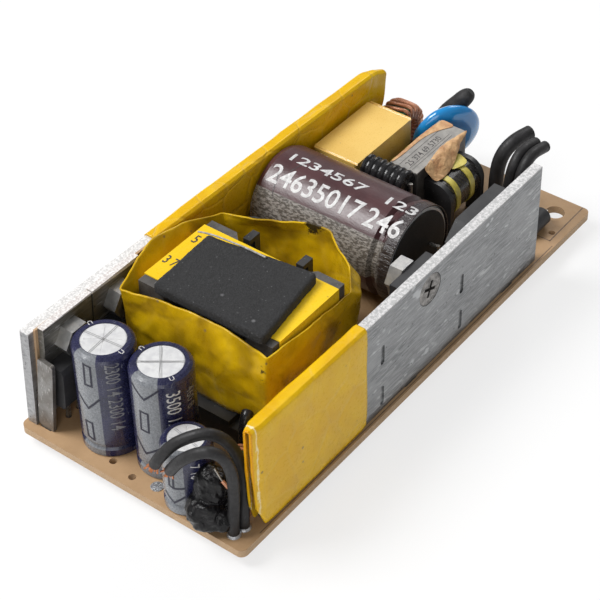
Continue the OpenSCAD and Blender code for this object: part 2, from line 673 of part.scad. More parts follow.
module main_cap_sleeve() color("maroon") {
    d = main_cap_d;
    l = main_cap_l;
    s = sleeve_t;
    along_main() rotate_extrude() polygon([[d * 0.38, 0], [d / 2 - 1.2, 0],
        [d / 2 - 0.3, 0.45], [d / 2, 1.35], [d / 2, l - 4.4], [d / 2 - 0.8, l - 3.8],
        [d / 2 - 0.8, l - 3], [d / 2, l - 2.4], [d / 2, l], [d / 2 - s, l],
        [d / 2 - s, l - 2.4], [d / 2 - 0.8 - s, l - 3], [d / 2 - 0.8 - s, l - 3.8],
        [d / 2 - s, l - 4.4], [d / 2 - s, 1.4], [d / 2 - 0.35 - s, 0.6],
        [d / 2 - 1.2 - s, s], [d * 0.38, s]]);
}

film_lift = 0.3;
module film_capacitor() color("khaki") above_board(film_at[0], film_at[1], film_lift)
    difference() {
        linear_extrude(film_h) rounded([film_l, film_w], 0.5);
        for (s = [-1, 1]) translate([s * (film_l / 2 - 0.4), 0, film_h])
            rotate([0, s * 45, 0]) cube([0.6, film_w + 1, 0.3], center = true);
    }

// ----------------------------------------------------------- transformer
post_room = 0.2;
core_foot = board_top + core_lift;
window_r = core_w * 0.417;      // bore of the outer legs
flange_t = 0.8;
tape_wrap_t = 0.2;
waist = 6.5;                    // half length of the narrowed back

// One core half, back plate down, cut to the shell type outline
module core_half() {
    half = core_h / 2;
    difference() {
        linear_extrude(half) square([core_d, core_w], center = true);
        translate([0, 0, core_plate]) difference() {
            cylinder(r = window_r, h = half, $fn = 64);
            translate([0, 0, -eps]) cylinder(d = post_d, h = half + 1, $fn = 48);
        }
        // the back is narrower between the legs
        for (s = [-1, 1]) scale([s, 1, 1]) translate([core_d / 2, 0, -1])
            linear_extrude(core_plate + 1 + eps)
                polygon([[eps, -waist - 1.8], [-1.8, -waist], [-1.8, waist],
                    [eps, waist + 1.8]]);
    }
}

module transformer_core_bottom() color("dimgray")
    translate([core_at[0], core_at[1], core_foot]) core_half();

module transformer_core_top() color("dimgray")
    translate([core_at[0], core_at[1], core_foot + core_h]) mirror([0, 0, 1]) core_half();

// Bobbin: tube, two flanges, pin rails under the lower one, wire posts on the upper one
module transformer_bobbin() color("darkslategray")
    translate([core_at[0], core_at[1], 0]) {
        lo = core_foot + core_plate + air;
        hi = core_foot + core_h - core_plate - air;
        difference() {
            union() {
                translate([0, 0, lo]) cylinder(d = post_d + 2 * post_room + 1.6,
                    h = hi - lo);
                for (z = [lo, hi - flange_t]) translate([0, 0, z])
                    cylinder(r = window_r - 0.3, h = flange_t);
                for (s = [-1, 1]) {
                    span([s * 12.6 - 1.5, -11, board_top],
                        [s * 12.6 + 1.5, 11, lo - 0.2]);
                    span([min(s * 9.4, s * 14.1), -8, lo - 0.3],
                        [max(s * 9.4, s * 14.1), 8, lo + flange_t]);
                }
                for (s = [-1, 1]) wire_post(s * window_r * 0.48, hi);
            }
            translate([0, 0, lo - 1]) cylinder(d = post_d + 2 * post_room, h = hi);
        }
    }

// Hook on the upper flange, past the core's flank, that the winding's ends go round
module wire_post(y, hi) {
    inner = core_d / 2 + 0.25;
    outer = inner + 1.3;
    top = core_foot + core_h + 0.6;
    span([window_r * 0.8, y - 0.7, hi - flange_t], [outer, y + 0.7, hi]);
    span([inner, y - 0.7, hi - eps], [outer, y + 0.7, top]);
    span([inner - 1.3, y - 0.7, top - 0.9], [outer, y + 0.7, top]);
}

module transformer_winding() color("gold") translate([core_at[0], core_at[1], 0]) {
    lo = core_foot + core_plate + air + flange_t;
    hi = core_foot + core_h - core_plate - air - flange_t;
    translate([0, 0, lo]) difference() {
        cylinder(r = window_r - 0.7, h = hi - lo);
        translate([0, 0, -1])
            cylinder(d = post_d + 2 * post_room + 1.6, h = hi - lo + 2);
    }
}

// Belt of tape that holds the core halves together
module core_tape() color("khaki") {
    w = core_d - 3.4;
    translate([core_at[0] - w / 2, core_at[1], core_foot]) rotate([90, 0, 90])
        linear_extrude(w) difference() {
            translate([-core_w / 2 - tape_wrap_t, -tape_wrap_t])
                square([core_w + 2 * tape_wrap_t, core_h + 2 * tape_wrap_t]);
            translate([-core_w / 2, 0]) square([core_w, core_h]);
        }
}

// The foam pad is cut by hand, so its corners are not square
PAD = [[3.7, 9.5], [6.2, -9.4], [-9.3, -11.6], [-9.6, 8.8]];
module core_pad() color("black") {
    r = 0.7;
    translate([core_at[0], core_at[1], core_foot + core_h + tape_wrap_t]) hull()
        for (c = PAD) {
            p = [c[0] * core_d / 18.5, c[1] * core_w / 27];
            translate([p[0], p[1], pad_t - r]) sphere(r = r, $fn = 16);
            translate(p) cylinder(r = r, h = 0.4, $fn = 16);
        }
}

// Loose collar of tape round the transformer. Each fold has a lower and a middle
// point [x, y] and a rim point [x, y, height over wrap_h].
WRAP = [[[-32.2, -13.5], [-32.7, -14], [-32, -13.8, -0.1]],
    [[-32.4, -8], [-33, -8.5], [-31.9, -9.8, 0.7]],
    [[-32.5, -4], [-33.1, -4], [-31.6, -4.8, 1.1]],
    [[-32.5, 2], [-33.1, 2], [-31.5, 1.2, 1]],
    [[-32.4, 8], [-33, 8.4], [-32.1, 7.6, 0.7]],
    [[-32, 14.4], [-33, 14.8], [-33.3, 15, 0]],
    [[-27, 14.8], [-27.4, 14.9], [-28, 16.2, 1.2]],
    [[-21, 14.8], [-21, 15.6], [-21.6, 18, 1.4]],
    [[-14, 14.8], [-14, 16], [-14.6, 17.4, 0.4]],
    [[-8, 14.6], [-7.2, 15.4], [-6.8, 15.6, -1.8]],
    [[-4.6, 9.5], [-3.9, 10.5], [-5, 9.8, -1.5]],
    [[-2.4, 3], [-1.2, 3.5], [-1, 1.7, -1.1]],
    [[-2.4, -4], [-0.9, -3], [-0.8, -2.2, -1.1]],
    [[-5, -10], [-4.6, -11], [-5.8, -10.1, -1.1]],
    [[-9, -13.8], [-8, -13.9], [-10.3, -13.6, -2]],
    [[-15, -13.8], [-15, -14.2], [-14.9, -13.8, -1.6]],
    [[-20, -13.8], [-20, -14.3], [-19.6, -13.9, -1.1]]];
wrap_middle = 16.8;
wrap_t = 0.3;
core_grown = [core_d / 18.5, core_w / 27];      // against the core the folds were laid on
function fold(i, k) =
    let (p = WRAP[i][k])
    [for (q = [0, 1]) core_at[q] + (p[q] - core_at[q]) * core_grown[q]];
function wrap_level(off, k) =
    let (n = len(WRAP))
    [for (i = [0:n - 1])
        let (p = fold(i, k), t = unit(fold((i + 1) % n, k) - fold((i + n - 1) % n, k)),
             h = [wrap_foot, wrap_middle, wrap_h + WRAP[i][2][2]][k])
        [p[0] + off * t[1], p[1] - off * t[0], h]];

module transformer_wrap() color("gold") translate([0, 0, board_top]) {
    m = len(WRAP);
    levels = [for (k = [0:2]) wrap_level(0, k), for (k = [2:-1:0]) wrap_level(wrap_t, k)];
    polyhedron(points = [for (l = levels) each l], convexity = 8,
        faces = [for (r = [0:5], j = [0:m - 1], half = [0, 1])
            let (s = (r + 1) % 6, k = (j + 1) % m)
            half == 0 ? [r * m + j, s * m + j, s * m + k] : [r * m + j, s * m + k, r * m + k]]);
}

module winding_pins() color("silver") {
    for (p = core_pins) wire(p, 0);
    for (p = cm_pins) wire(p, 0);
    for (p = line_lead_at) wire(p, line_choke_lift + 0.4);
    for (p = inductor_lead_at) wire(p, inductor_h + lead_d / 2);
    for (i = [0, 1]) {
        p = inductor_lead_at[i];
        wire_run([p[0], p[1], inductor_h], [p[0], inductor_y[i], inductor_h]);
    }
    for (p = diode_lead_at) wire(p, diode_h + lead_d / 2);
    wire_run([diode_lead_at[0][0], diode_y, diode_h], [diode_x[0], diode_y, diode_h]);
    wire_run([diode_x[1], diode_y, diode_h], [diode_lead_at[1][0], diode_y, diode_h]);
}

// ---------------------------------------------------------- line choke
line_choke_lift = 0.2;
line_wire = 0.75;
module at_line_choke() above_board(line_choke_at[0], line_choke_at[1],
    line_choke_lift + line_choke_d / 2) rotate([90, 0, 0]) children();

line_ring_w = 1.8;              // radial width of the ring cores
output_ring_w = 1.6;
module ring_core(d, t, ring_w) translate([0, 0, -t / 2]) difference() {
    cylinder(d = d, h = t);
    translate([0, 0, -1]) cylinder(d = d - 2 * ring_w, h = t + 2);
}

module line_choke_core() color("seagreen") at_line_choke()
    ring_core(line_choke_d - 2 * line_wire, line_choke_t - 2 * line_wire, line_ring_w);

// Each turn is a flat loop round the ring's section
module turns(n, d, t, w, width, ring_w, gap = 0.03) {
    od = d / 2 - w;
    for (k = [0:n - 1]) rotate(k * 360 / n + 90) rotate([90, 0, 0])
        translate([0, 0, -width / 2]) linear_extrude(width) difference() {
            translate([od - ring_w / 2, 0])
                rounded([ring_w + 2 * w, t], w * 0.9, $fn = 16);
            translate([od - ring_w / 2, 0])
                square([ring_w + 2 * gap, t - 2 * w + 2 * gap], center = true);
        }
}

module line_choke_winding() color("peru") at_line_choke()
    turns(line_choke_turns, line_choke_d, line_choke_t, line_wire, 0.62, line_ring_w);

// ------------------------------------------------- varistor and sleeved fuse
disc_h = 8;
module varistor() color("dodgerblue") {
    above_board(disc_at[0], disc_at[1], disc_h) rotate([90 + disc_lean, 0, disc_turn])
        lens(disc_d, disc_t);
    for (p = disc_lead_at) wire(p, disc_h - disc_d / 2 + 1.4);
}

// Fuse inside a heat shrunk sleeve, bent over behind the varistor
FUSE = from(disc_at, [[3, 3.8, 0], [3, 3.8, 4.5], [3.3, 3.2, 9.2], [3.8, 1.7, 12.2],
    [4, 0.1, 14], [4.1, -0.9, 14.8]]);
module sleeved_fuse() color("black") cord(FUSE, 2.7, 1, 8, 0.5);

// ----------------------------------------------------- common mode choke
cm_x = [choke_at[0] - cm_core_l / 2, choke_at[0] + cm_core_l / 2];
cm_y = [choke_at[1] - cm_core_w / 2, choke_at[1] + cm_core_w / 2];
cm_lift = 0.3;
label_t = 0.25;
module cm_choke_core() color("darkslategray") difference() {
    span([cm_x[0], cm_y[0], board_top + cm_lift],
        [cm_x[1], cm_y[1], board_top + cm_core_h - label_t]);
    for (s = [0, 1])
        span([cm_x[0] + cm_leg, cm_y[0] - 1, cm_window[s][0]],
            [cm_x[1] - cm_leg, cm_y[1] + 1, cm_window[s][1]]);
}
cm_mid = board_top + (cm_lift + cm_core_h - label_t) / 2;
cm_window = [[board_top + cm_lift + cm_leg, cm_mid - 1.6],
    [cm_mid + 1.6, board_top + cm_core_h - label_t - cm_leg]];

module cm_section(grow = 0) {
    h = cm_window[1][1] - cm_window[0][0] - 0.3 + 2 * grow;
    rounded([cm_coil_w + 2 * grow, h], h / 2 - 0.6);
}

module along_cm(x, l) translate([x, choke_at[1] + cm_coil_shift, cm_mid])
    rotate([90, 0, 90]) linear_extrude(l) children();

module cm_core_room() translate([-cm_coil_shift, 0])
    square([cm_core_w + 0.3, 3.5], center = true);

cm_flange_x = [cm_x[0] + cm_leg + 0.15, cm_x[1] - cm_leg - 1.15];
module cm_choke_bobbin() color("black") {
    for (x = cm_flange_x) along_cm(x, 1) difference() {
        union() {
            cm_section();
            for (s = [-1, 1]) translate([s * (cm_coil_w / 2 - 1.5), 0])
                translate([-1.5, board_top - cm_mid]) square([3, cm_mid - board_top]);
        }
        cm_core_room();
    }
    along_cm(cm_flange_x[0] + 1 - eps, cm_flange_x[1] - cm_flange_x[0] - 1 + 2 * eps)
        difference() {
            translate([-cm_coil_shift, 0]) square([cm_core_w + 1.1, 4.3], center = true);
            cm_core_room();
        }
}

band_at = [4.6, 9];             // bands from the core's near end
band_w = 1.2;
module cm_choke_winding() color("black")
    along_cm(cm_flange_x[0] + 1, cm_flange_x[1] - cm_flange_x[0] - 1) difference() {
        cm_section(-0.35);
        translate([-cm_coil_shift, 0]) square([cm_core_w + 1.1, 4.3], center = true);
    }

module cm_choke_bands() color("khaki") for (x = band_at)
    along_cm(cm_x[0] + x, band_w) difference() {
        cm_section(-0.12);
        cm_section(-0.35);
    }

module cm_choke_label() color("silver")
    span([cm_x[0], cm_y[0], board_top + cm_core_h - label_t],
        [cm_x[1], cm_y[1], board_top + cm_core_h]);

// Masking tape: along the label's far long edge, over its end, and down the near side
module cm_choke_tape() color("burlywood") {
    t = 0.2;
    top = board_top + cm_core_h;
    span([cm_x[0] + 1, cm_y[1] - 1.2, top], [cm_x[1] + t, cm_y[1] + t, top + t]);
    span([cm_x[1] - 2.2, cm_y[0] - t, top], [cm_x[1] + t, cm_y[1] + t, top + t]);
    span([cm_x[0] + 2.6, cm_y[0] - t, top], [cm_x[1] + t, cm_y[0] + 1.3, top + t]);
    span([cm_x[0] + 3.2, cm_y[0] - t, top - 2], [cm_x[1] + t, cm_y[0], top + t]);
}

// ------------------------------------------------ small wound parts
inductor_h = 12.8;
inductor_d = 4.9;
module sleeved_inductor() color("black") {
    l = inductor_l;
    ribs = 7;
    p = l / ribs;
    above_board(inductor_x, inductor_y[0], inductor_h) rotate([90, 0, 0])
        rotate_extrude($fn = 32) polygon(concat([[0, 0]],
            [for (i = [0:ribs - 1], a = [0.1, 0.3, 0.5, 0.7, 0.9])
                [inductor_d / 2 - 0.5 * pow(abs(2 * a - 1), 2), (i + a) * p]],
            [[0, l]]));
}

output_choke_d = 8;
output_choke_t = 4.6;
output_wire = 0.6;
module at_output_choke() above_board(output_choke_at[0], output_choke_at[1],
    output_choke_d / 2) rotate([90, 0, 20]) children();

module output_choke_core() color("seagreen") at_output_choke()
    ring_core(output_choke_d - 2 * output_wire, output_choke_t - 2 * output_wire,
        output_ring_w);

module output_choke_winding() color("chocolate") at_output_choke()
    turns(10, output_choke_d, output_choke_t, output_wire, 0.55, output_ring_w);

module output_choke_lead() color("chocolate") {
    cord(from(output_choke_at, [[-1.8, -2.6, 4.8], [-2.7, -3.3, 4.5], [-3.7, -3.8, 3],
        [-4.4, -3.8, 1], [-4.4, -3.8, 0], [-4.4, -3.8, -board_t]]), 0.8, 1, 8);
}

// Small drum inductor under black tape
module taped_inductor() color("black") above_board(-47.2, primary_inner_y + 4.3, 0)
    rotate_extrude($fn = 32) polygon([[0, 0], [2, 0], [2.3, 0.8], [2.15, 2.6],
        [2.3, 4.4], [2.1, 6], [1.5, 7], [0, 7.4]]);

diode_h = 2;
diode_d = 3.4;
module end_diode() color("black") above_board(diode_x[0], diode_y, diode_h)
    rotate([0, 90, 0]) rotate_extrude($fn = 32)
        polygon([[0, 0], [diode_d / 2 - 0.3, 0], [diode_d / 2, 0.3],
            [diode_d / 2, diode_x[1] - diode_x[0] - 0.3],
            [diode_d / 2 - 0.3, diode_x[1] - diode_x[0]],
            [0, diode_x[1] - diode_x[0]]]);

// -------------------------------------------------------- leads and cords
// Routes are [x, y, h]; each starts on the board
FLYING = [[-4, 17, 0], [-4, 17, 5], [-3, 16.8, 10.4], [-0.8, 15.6, 12.9],
    [1, 13.8, 12.2], [1, 12.2, 7], [1, 12, 0]];
SECONDARY = [[-36, -11.9, 0], [-36, -11.9, 4], [-35.9, -11.9, 7.4],
    [-35.2, -11.7, 9.4], [-34.4, -11.4, 9.8]];
OUTPUT_A = [[-48.6, -19.6, 0.5], [-48.6, -19.6, 2.4], [-48.2, -19.7, 8.3],
    [-48.6, -19.9, 13.3], [-49.5, -19.4, 17], [-50.9, -18.2, 18.9], [-52, -16.3, 18.4],
    [-52.6, -13.8, 16], [-52.3, -11.7, 12.9], [-51.9, -10.7, 11.3]];
OUTPUT_B = [[-46.5, -19.9, 0.5], [-46.5, -19.9, 2.4], [-45.1, -19.1, 7.6],
    [-45, -18.4, 12.5], [-46, -17.1, 16.3], [-47.7, -15.5, 18.4], [-49.4, -13.6, 18.3],
    [-51.2, -11.3, 16.7], [-52.4, -9.4, 13.9], [-52.5, -8.2, 11.6]];
INPUT_A = [[41.4, -8.2, 0], [41.4, -8.2, 5], [41.6, -8.4, 9.5], [42.6, -9, 12.4],
    [44.6, -9.9, 13.9], [47.8, -10.8, 14.1]];
INPUT_B = [[36.8, -15.4, 0], [36.8, -15.4, 5], [37, -15.4, 10], [38, -15.5, 13.8],
    [40.6, -15.6, 15.6], [44.8, -15.8, 15]];
INPUT_C = [[36.8, -13.5, 0], [36.8, -13.5, 5], [37, -13.5, 10], [38, -13.6, 13.8],
    [40.6, -13.7, 15.6], [44.8, -13.9, 15]];

module flying_lead() color("black") cord(FLYING, 1.2, 2, 8);
module secondary_lead() color("black") cord(SECONDARY, 2, 2, 8);
module output_lead_a() color("black") cord(OUTPUT_A, 1.9, 1, 8);
module output_lead_b() color("black") cord(OUTPUT_B, 1.9, 1, 8);
module input_lead_a() color("black") cord(INPUT_A, 2.7, 2, 8);
module input_lead_b() color("black") cord(INPUT_B, 1.8, 2, 8);
module input_lead_c() color("black") cord(INPUT_C, 1.8, 2, 8);

board();
solder_lands();
solder_joints();
controller_ic();
chip_parts();
optocoupler();
safety_capacitor();
primary_heatsink();
primary_tape();
heatsink_screws();
heatsink_nuts();
mosfet_body();
bridge_body();
secondary_heatsink();
secondary_insulator();
secondary_tape();
rectifier_tabs();
rectifier_bodies();
package_leads();
tinned_strip();
capacitor_cans();
capacitor_sleeves();
capacitor_bungs();
capacitor_leads();
main_cap_can();
main_cap_sleeve();
main_cap_bung();
transformer_core_top();
transformer_core_bottom();
transformer_bobbin();
transformer_winding();
core_tape();
core_pad();
transformer_wrap();
winding_pins();
film_capacitor();
line_choke_core();
line_choke_winding();
varistor();
sleeved_fuse();
cm_choke_core();
cm_choke_bobbin();
cm_choke_winding();
cm_choke_bands();
cm_choke_label();
cm_choke_tape();
sleeved_inductor();
output_choke_core();
output_choke_winding();
output_choke_lead();
taped_inductor();
end_diode();
flying_lead();
secondary_lead();
output_lead_a();
output_lead_b();
input_lead_a();
input_lead_b();
input_lead_c();
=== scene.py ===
"""Open frame power supply: finishes, tapes, windings, leads and print on its model."""

import logging
import math
import random
from dataclasses import dataclass
from enum import Enum
from typing import Callable, Iterable, Sequence, Union

import bpy
from mathutils import Matrix, Vector


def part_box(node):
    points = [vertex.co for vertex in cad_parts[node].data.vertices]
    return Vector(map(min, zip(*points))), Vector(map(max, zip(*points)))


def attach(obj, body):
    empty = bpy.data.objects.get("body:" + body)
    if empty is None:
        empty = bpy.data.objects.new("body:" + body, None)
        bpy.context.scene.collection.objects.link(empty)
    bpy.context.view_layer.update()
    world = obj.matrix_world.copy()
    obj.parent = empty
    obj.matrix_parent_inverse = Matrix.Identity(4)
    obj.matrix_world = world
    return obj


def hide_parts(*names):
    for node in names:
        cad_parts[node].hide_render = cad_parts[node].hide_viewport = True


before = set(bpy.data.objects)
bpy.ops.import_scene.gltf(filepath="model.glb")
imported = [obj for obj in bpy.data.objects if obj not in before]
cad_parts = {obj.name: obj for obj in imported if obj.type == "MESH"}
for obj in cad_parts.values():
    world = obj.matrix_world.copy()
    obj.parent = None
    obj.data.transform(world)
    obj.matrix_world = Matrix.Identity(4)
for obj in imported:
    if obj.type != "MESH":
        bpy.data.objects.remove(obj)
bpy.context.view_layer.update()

MM = 0.001
BOARD_TOP = 3.7             # millimetres from the floor to the board's top
PLATE_FALL = 2.8 / 90       # slope of the leaned plate's top edge
INK_LIFT = 0.04             # millimetres from a wall to the ink on it
SAME_POINT = 2e-6           # metres within which vertices are merged

log = logging.getLogger("power_supply")

Point = Sequence[float]
Colour = tuple[float, float, float]
Out = bpy.types.NodeSocket
Feed = Union[bpy.types.NodeSocket, float, Sequence[float]]


def above(x: float, y: float, h: float) -> Vector:
    """Returns a point in metres from millimetres, h counted from the board's top."""
    return Vector((x, y, BOARD_TOP + h)) * MM


def heading(degrees: float) -> Vector:
    """Returns the level unit vector at an angle from X."""
    return Vector((math.cos(math.radians(degrees)), math.sin(math.radians(degrees))))


def placed(name: str, data: bpy.types.ID) -> bpy.types.Object:
    """Makes an object of some data and links it to the scene.

    Args:
        name: The object's name.
        data: Its mesh, curve, camera or light.

    Returns:
        The object.
    """
    obj = bpy.data.objects.new(name, data)
    bpy.context.scene.collection.objects.link(obj)
    return obj


@dataclass(frozen=True)
class Can:
    """An output capacitor: middle, radius and top in millimetres, its stripe's angles."""

    x: float
    y: float
    radius: float
    top: float
    first: float
    last: float


CANS = (Can(-43.4, 9.2, 5.1, 20.8, 158.0, 207.0),
        Can(-42.0, -1.2, 5.1, 20.8, 158.0, 214.0),
        Can(-46.6, -9.4, 4.1, 13.2, 146.0, 211.5))


# ------------------------------------------------------------------ modelling

class Bench:
    """Short calls round bpy.ops, each of which starts from a clean selection."""

    @staticmethod
    def clear() -> None:
        """Deselects everything."""
        bpy.ops.object.select_all(action="DESELECT")

    @classmethod
    def pick(cls, *objects: bpy.types.Object) -> None:
        """Selects only these objects and makes the first one active.

        Args:
            objects: The objects.
        """
        cls.clear()
        for obj in objects:
            obj.select_set(True)
        bpy.context.view_layer.objects.active = objects[0]

    @classmethod
    def edit(cls, obj: bpy.types.Object, select: str = "SELECT") -> None:
        """Opens a piece in edit mode.

        Args:
            obj: The piece.
            select: SELECT or DESELECT, for all of it.
        """
        cls.pick(obj)
        bpy.ops.object.mode_set(mode="EDIT")
        bpy.ops.mesh.select_all(action=select)

    @staticmethod
    def close() -> None:
        """Goes back from edit mode to object mode."""
        bpy.ops.object.mode_set(mode="OBJECT")

    @staticmethod
    def name(name: str) -> bpy.types.Object:
        """Names the active object and its data.

        Args:
            name: The piece's name.

        Returns:
            The active object.
        """
        obj = bpy.context.object
        obj.name = name
        obj.data.name = name
        return obj

    @classmethod
    def settle(cls, obj: bpy.types.Object) -> bpy.types.Object:
        """Applies the object's place to its mesh.

        Args:
            obj: The piece.

        Returns:
            The same piece, at the origin.
        """
        cls.pick(obj)
        bpy.ops.object.transform_apply(location=True, rotation=True, scale=True)
        return obj

    @classmethod
    def to_mesh(cls, obj: bpy.types.Object) -> bpy.types.Object:
        """Converts a curve or text to a mesh.

        Args:
            obj: The curve or text.

        Returns:
            The mesh object.
        """
        cls.pick(obj)
        bpy.ops.object.convert(target="MESH")
        return bpy.context.object

    @classmethod
    def join(cls, name: str, parts: Sequence[bpy.types.Object]) -> bpy.types.Object:
        """Joins meshes into one piece.

        Args:
            name: The piece's name.
            parts: Mesh objects.

        Returns:
            The joined piece.
        """
        cls.pick(*parts)
        if len(parts) > 1:
            bpy.ops.object.join()
        return cls.name(name)

    @classmethod
    def modify(cls, obj: bpy.types.Object, kind: str, **settings: object) -> None:
        """Adds a modifier to a piece.

        Args:
            obj: The piece.
            kind: The modifier's type.
            settings: Its properties.
        """
        cls.pick(obj)
        bpy.ops.object.modifier_add(type=kind)
        for key, value in settings.items():
            setattr(obj.modifiers[-1], key, value)

    @classmethod
    def divide(cls, obj: bpy.types.Object, levels: int) -> None:
        """Adds a Subdivision Surface modifier of so many levels."""
        cls.modify(obj, "SUBSURF", levels=levels, render_levels=levels)

    @classmethod
    def remesh(cls, obj: bpy.types.Object, voxel: float) -> None:
        """Adds a Remesh modifier with voxels of a size in millimetres."""
        cls.modify(obj, "REMESH", mode="VOXEL", voxel_size=voxel * MM)

    @classmethod
    def thicken(cls, obj: bpy.types.Object, wall: float, offset: float) -> None:
        """Adds a Solidify modifier with a wall in millimetres."""
        cls.modify(obj, "SOLIDIFY", thickness=wall * MM, offset=offset)

    @classmethod
    def crumple(cls, obj: bpy.types.Object, *waves: tuple[float, float]) -> None:
        """Adds a Displace modifier with a cloud texture for each size of wave.

        Args:
            obj: The piece.
            waves: Size and full depth of the waves in millimetres.
        """
        for size, depth in waves:
            texture = bpy.data.textures.new(f"{obj.name}_{size:g}", "CLOUDS")
            texture.noise_scale = size * MM
            cls.modify(obj, "DISPLACE", texture=texture, texture_coords="LOCAL",
                       strength=depth * MM, mid_level=0.5)

    @classmethod
    def finish(cls, obj: bpy.types.Object, angle: float = 40) -> bpy.types.Object:
        """Applies every modifier and shades the piece smooth.

        Args:
            obj: The piece.
            angle: The angle in degrees past which an edge stays sharp.

        Returns:
            The same piece with a plain mesh.
        """
        cls.pick(obj)
        for modifier in list(obj.modifiers):
            bpy.ops.object.modifier_apply(modifier=modifier.name)
        bpy.ops.object.shade_smooth_by_angle(angle=math.radians(angle))
        return obj

    @classmethod
    def copy_node(cls, node: str, name: str) -> bpy.types.Object:
        """Copies a CAD node's mesh into a new piece with merged doubles and quads.

        Args:
            node: The CAD node.
            name: The new piece's name.

        Returns:
            The new piece.
        """
        obj = placed(name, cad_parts[node].data.copy())
        obj.data.name = name
        obj.data.materials.clear()
        cls.edit(obj)
        bpy.ops.mesh.remove_doubles(threshold=SAME_POINT)
        bpy.ops.mesh.tris_convert_to_quads(face_threshold=math.radians(60),
                                           shape_threshold=math.radians(100))
        bpy.ops.mesh.normals_make_consistent(inside=False)
        cls.close()
        return obj


def softened(route: Sequence[Point], steps: int) -> list[Vector]:
    """Runs a smooth curve through a route's points.

    Args:
        route: Points [x, y, h] in millimetres.
        steps: Points made for each stretch of the route.

    Returns:
        The curve's points in metres.
    """
    p = [above(*q) for q in route]
    out: list[Vector] = []
    for i in range(len(p) - 1):
        a, b, c, d = p[max(i - 1, 0)], p[i], p[i + 1], p[min(i + 2, len(p) - 1)]
        for k in range(steps):
            t = k / steps
            out.append(0.5 * (2 * b + (c - a) * t + (2 * a - 5 * b + 4 * c - d) * t * t
                              + (3 * b - a - 3 * c + d) * t ** 3))
    return out + [p[-1]]


def curve_through(name: str, points: Sequence[Vector], diameter: float,
                  radii: Sequence[float] | None = None, closed: bool = False,
                  resolution: int = 4) -> bpy.types.Object:
    """Makes a round tube as a curve of one spline.

    Args:
        name: The piece's name.
        points: The centreline in metres.
        diameter: The tube's diameter in metres.
        radii: A share of the radius at each point.
        closed: Whether the ends meet.
        resolution: The bevel's resolution.

    Returns:
        The curve object.
    """
    data = bpy.data.curves.new(name, "CURVE")
    data.dimensions = "3D"
    spline = data.splines.new("POLY")
    spline.points.add(len(points) - 1)
    for i, (point, at) in enumerate(zip(spline.points, points)):
        point.co = (*at, 1)
        point.radius = radii[i] if radii else 1
    spline.use_cyclic_u = closed
    spline.use_smooth = True
    data.bevel_depth = diameter / 2
    data.bevel_resolution = resolution
    data.use_fill_caps = not closed
    return placed(name, data)


# ------------------------------------------------------------------ materials

class Socket(Enum):
    """Types of a shader group's sockets."""

    VALUE = "NodeSocketFloat"
    VECTOR = "NodeSocketVector"


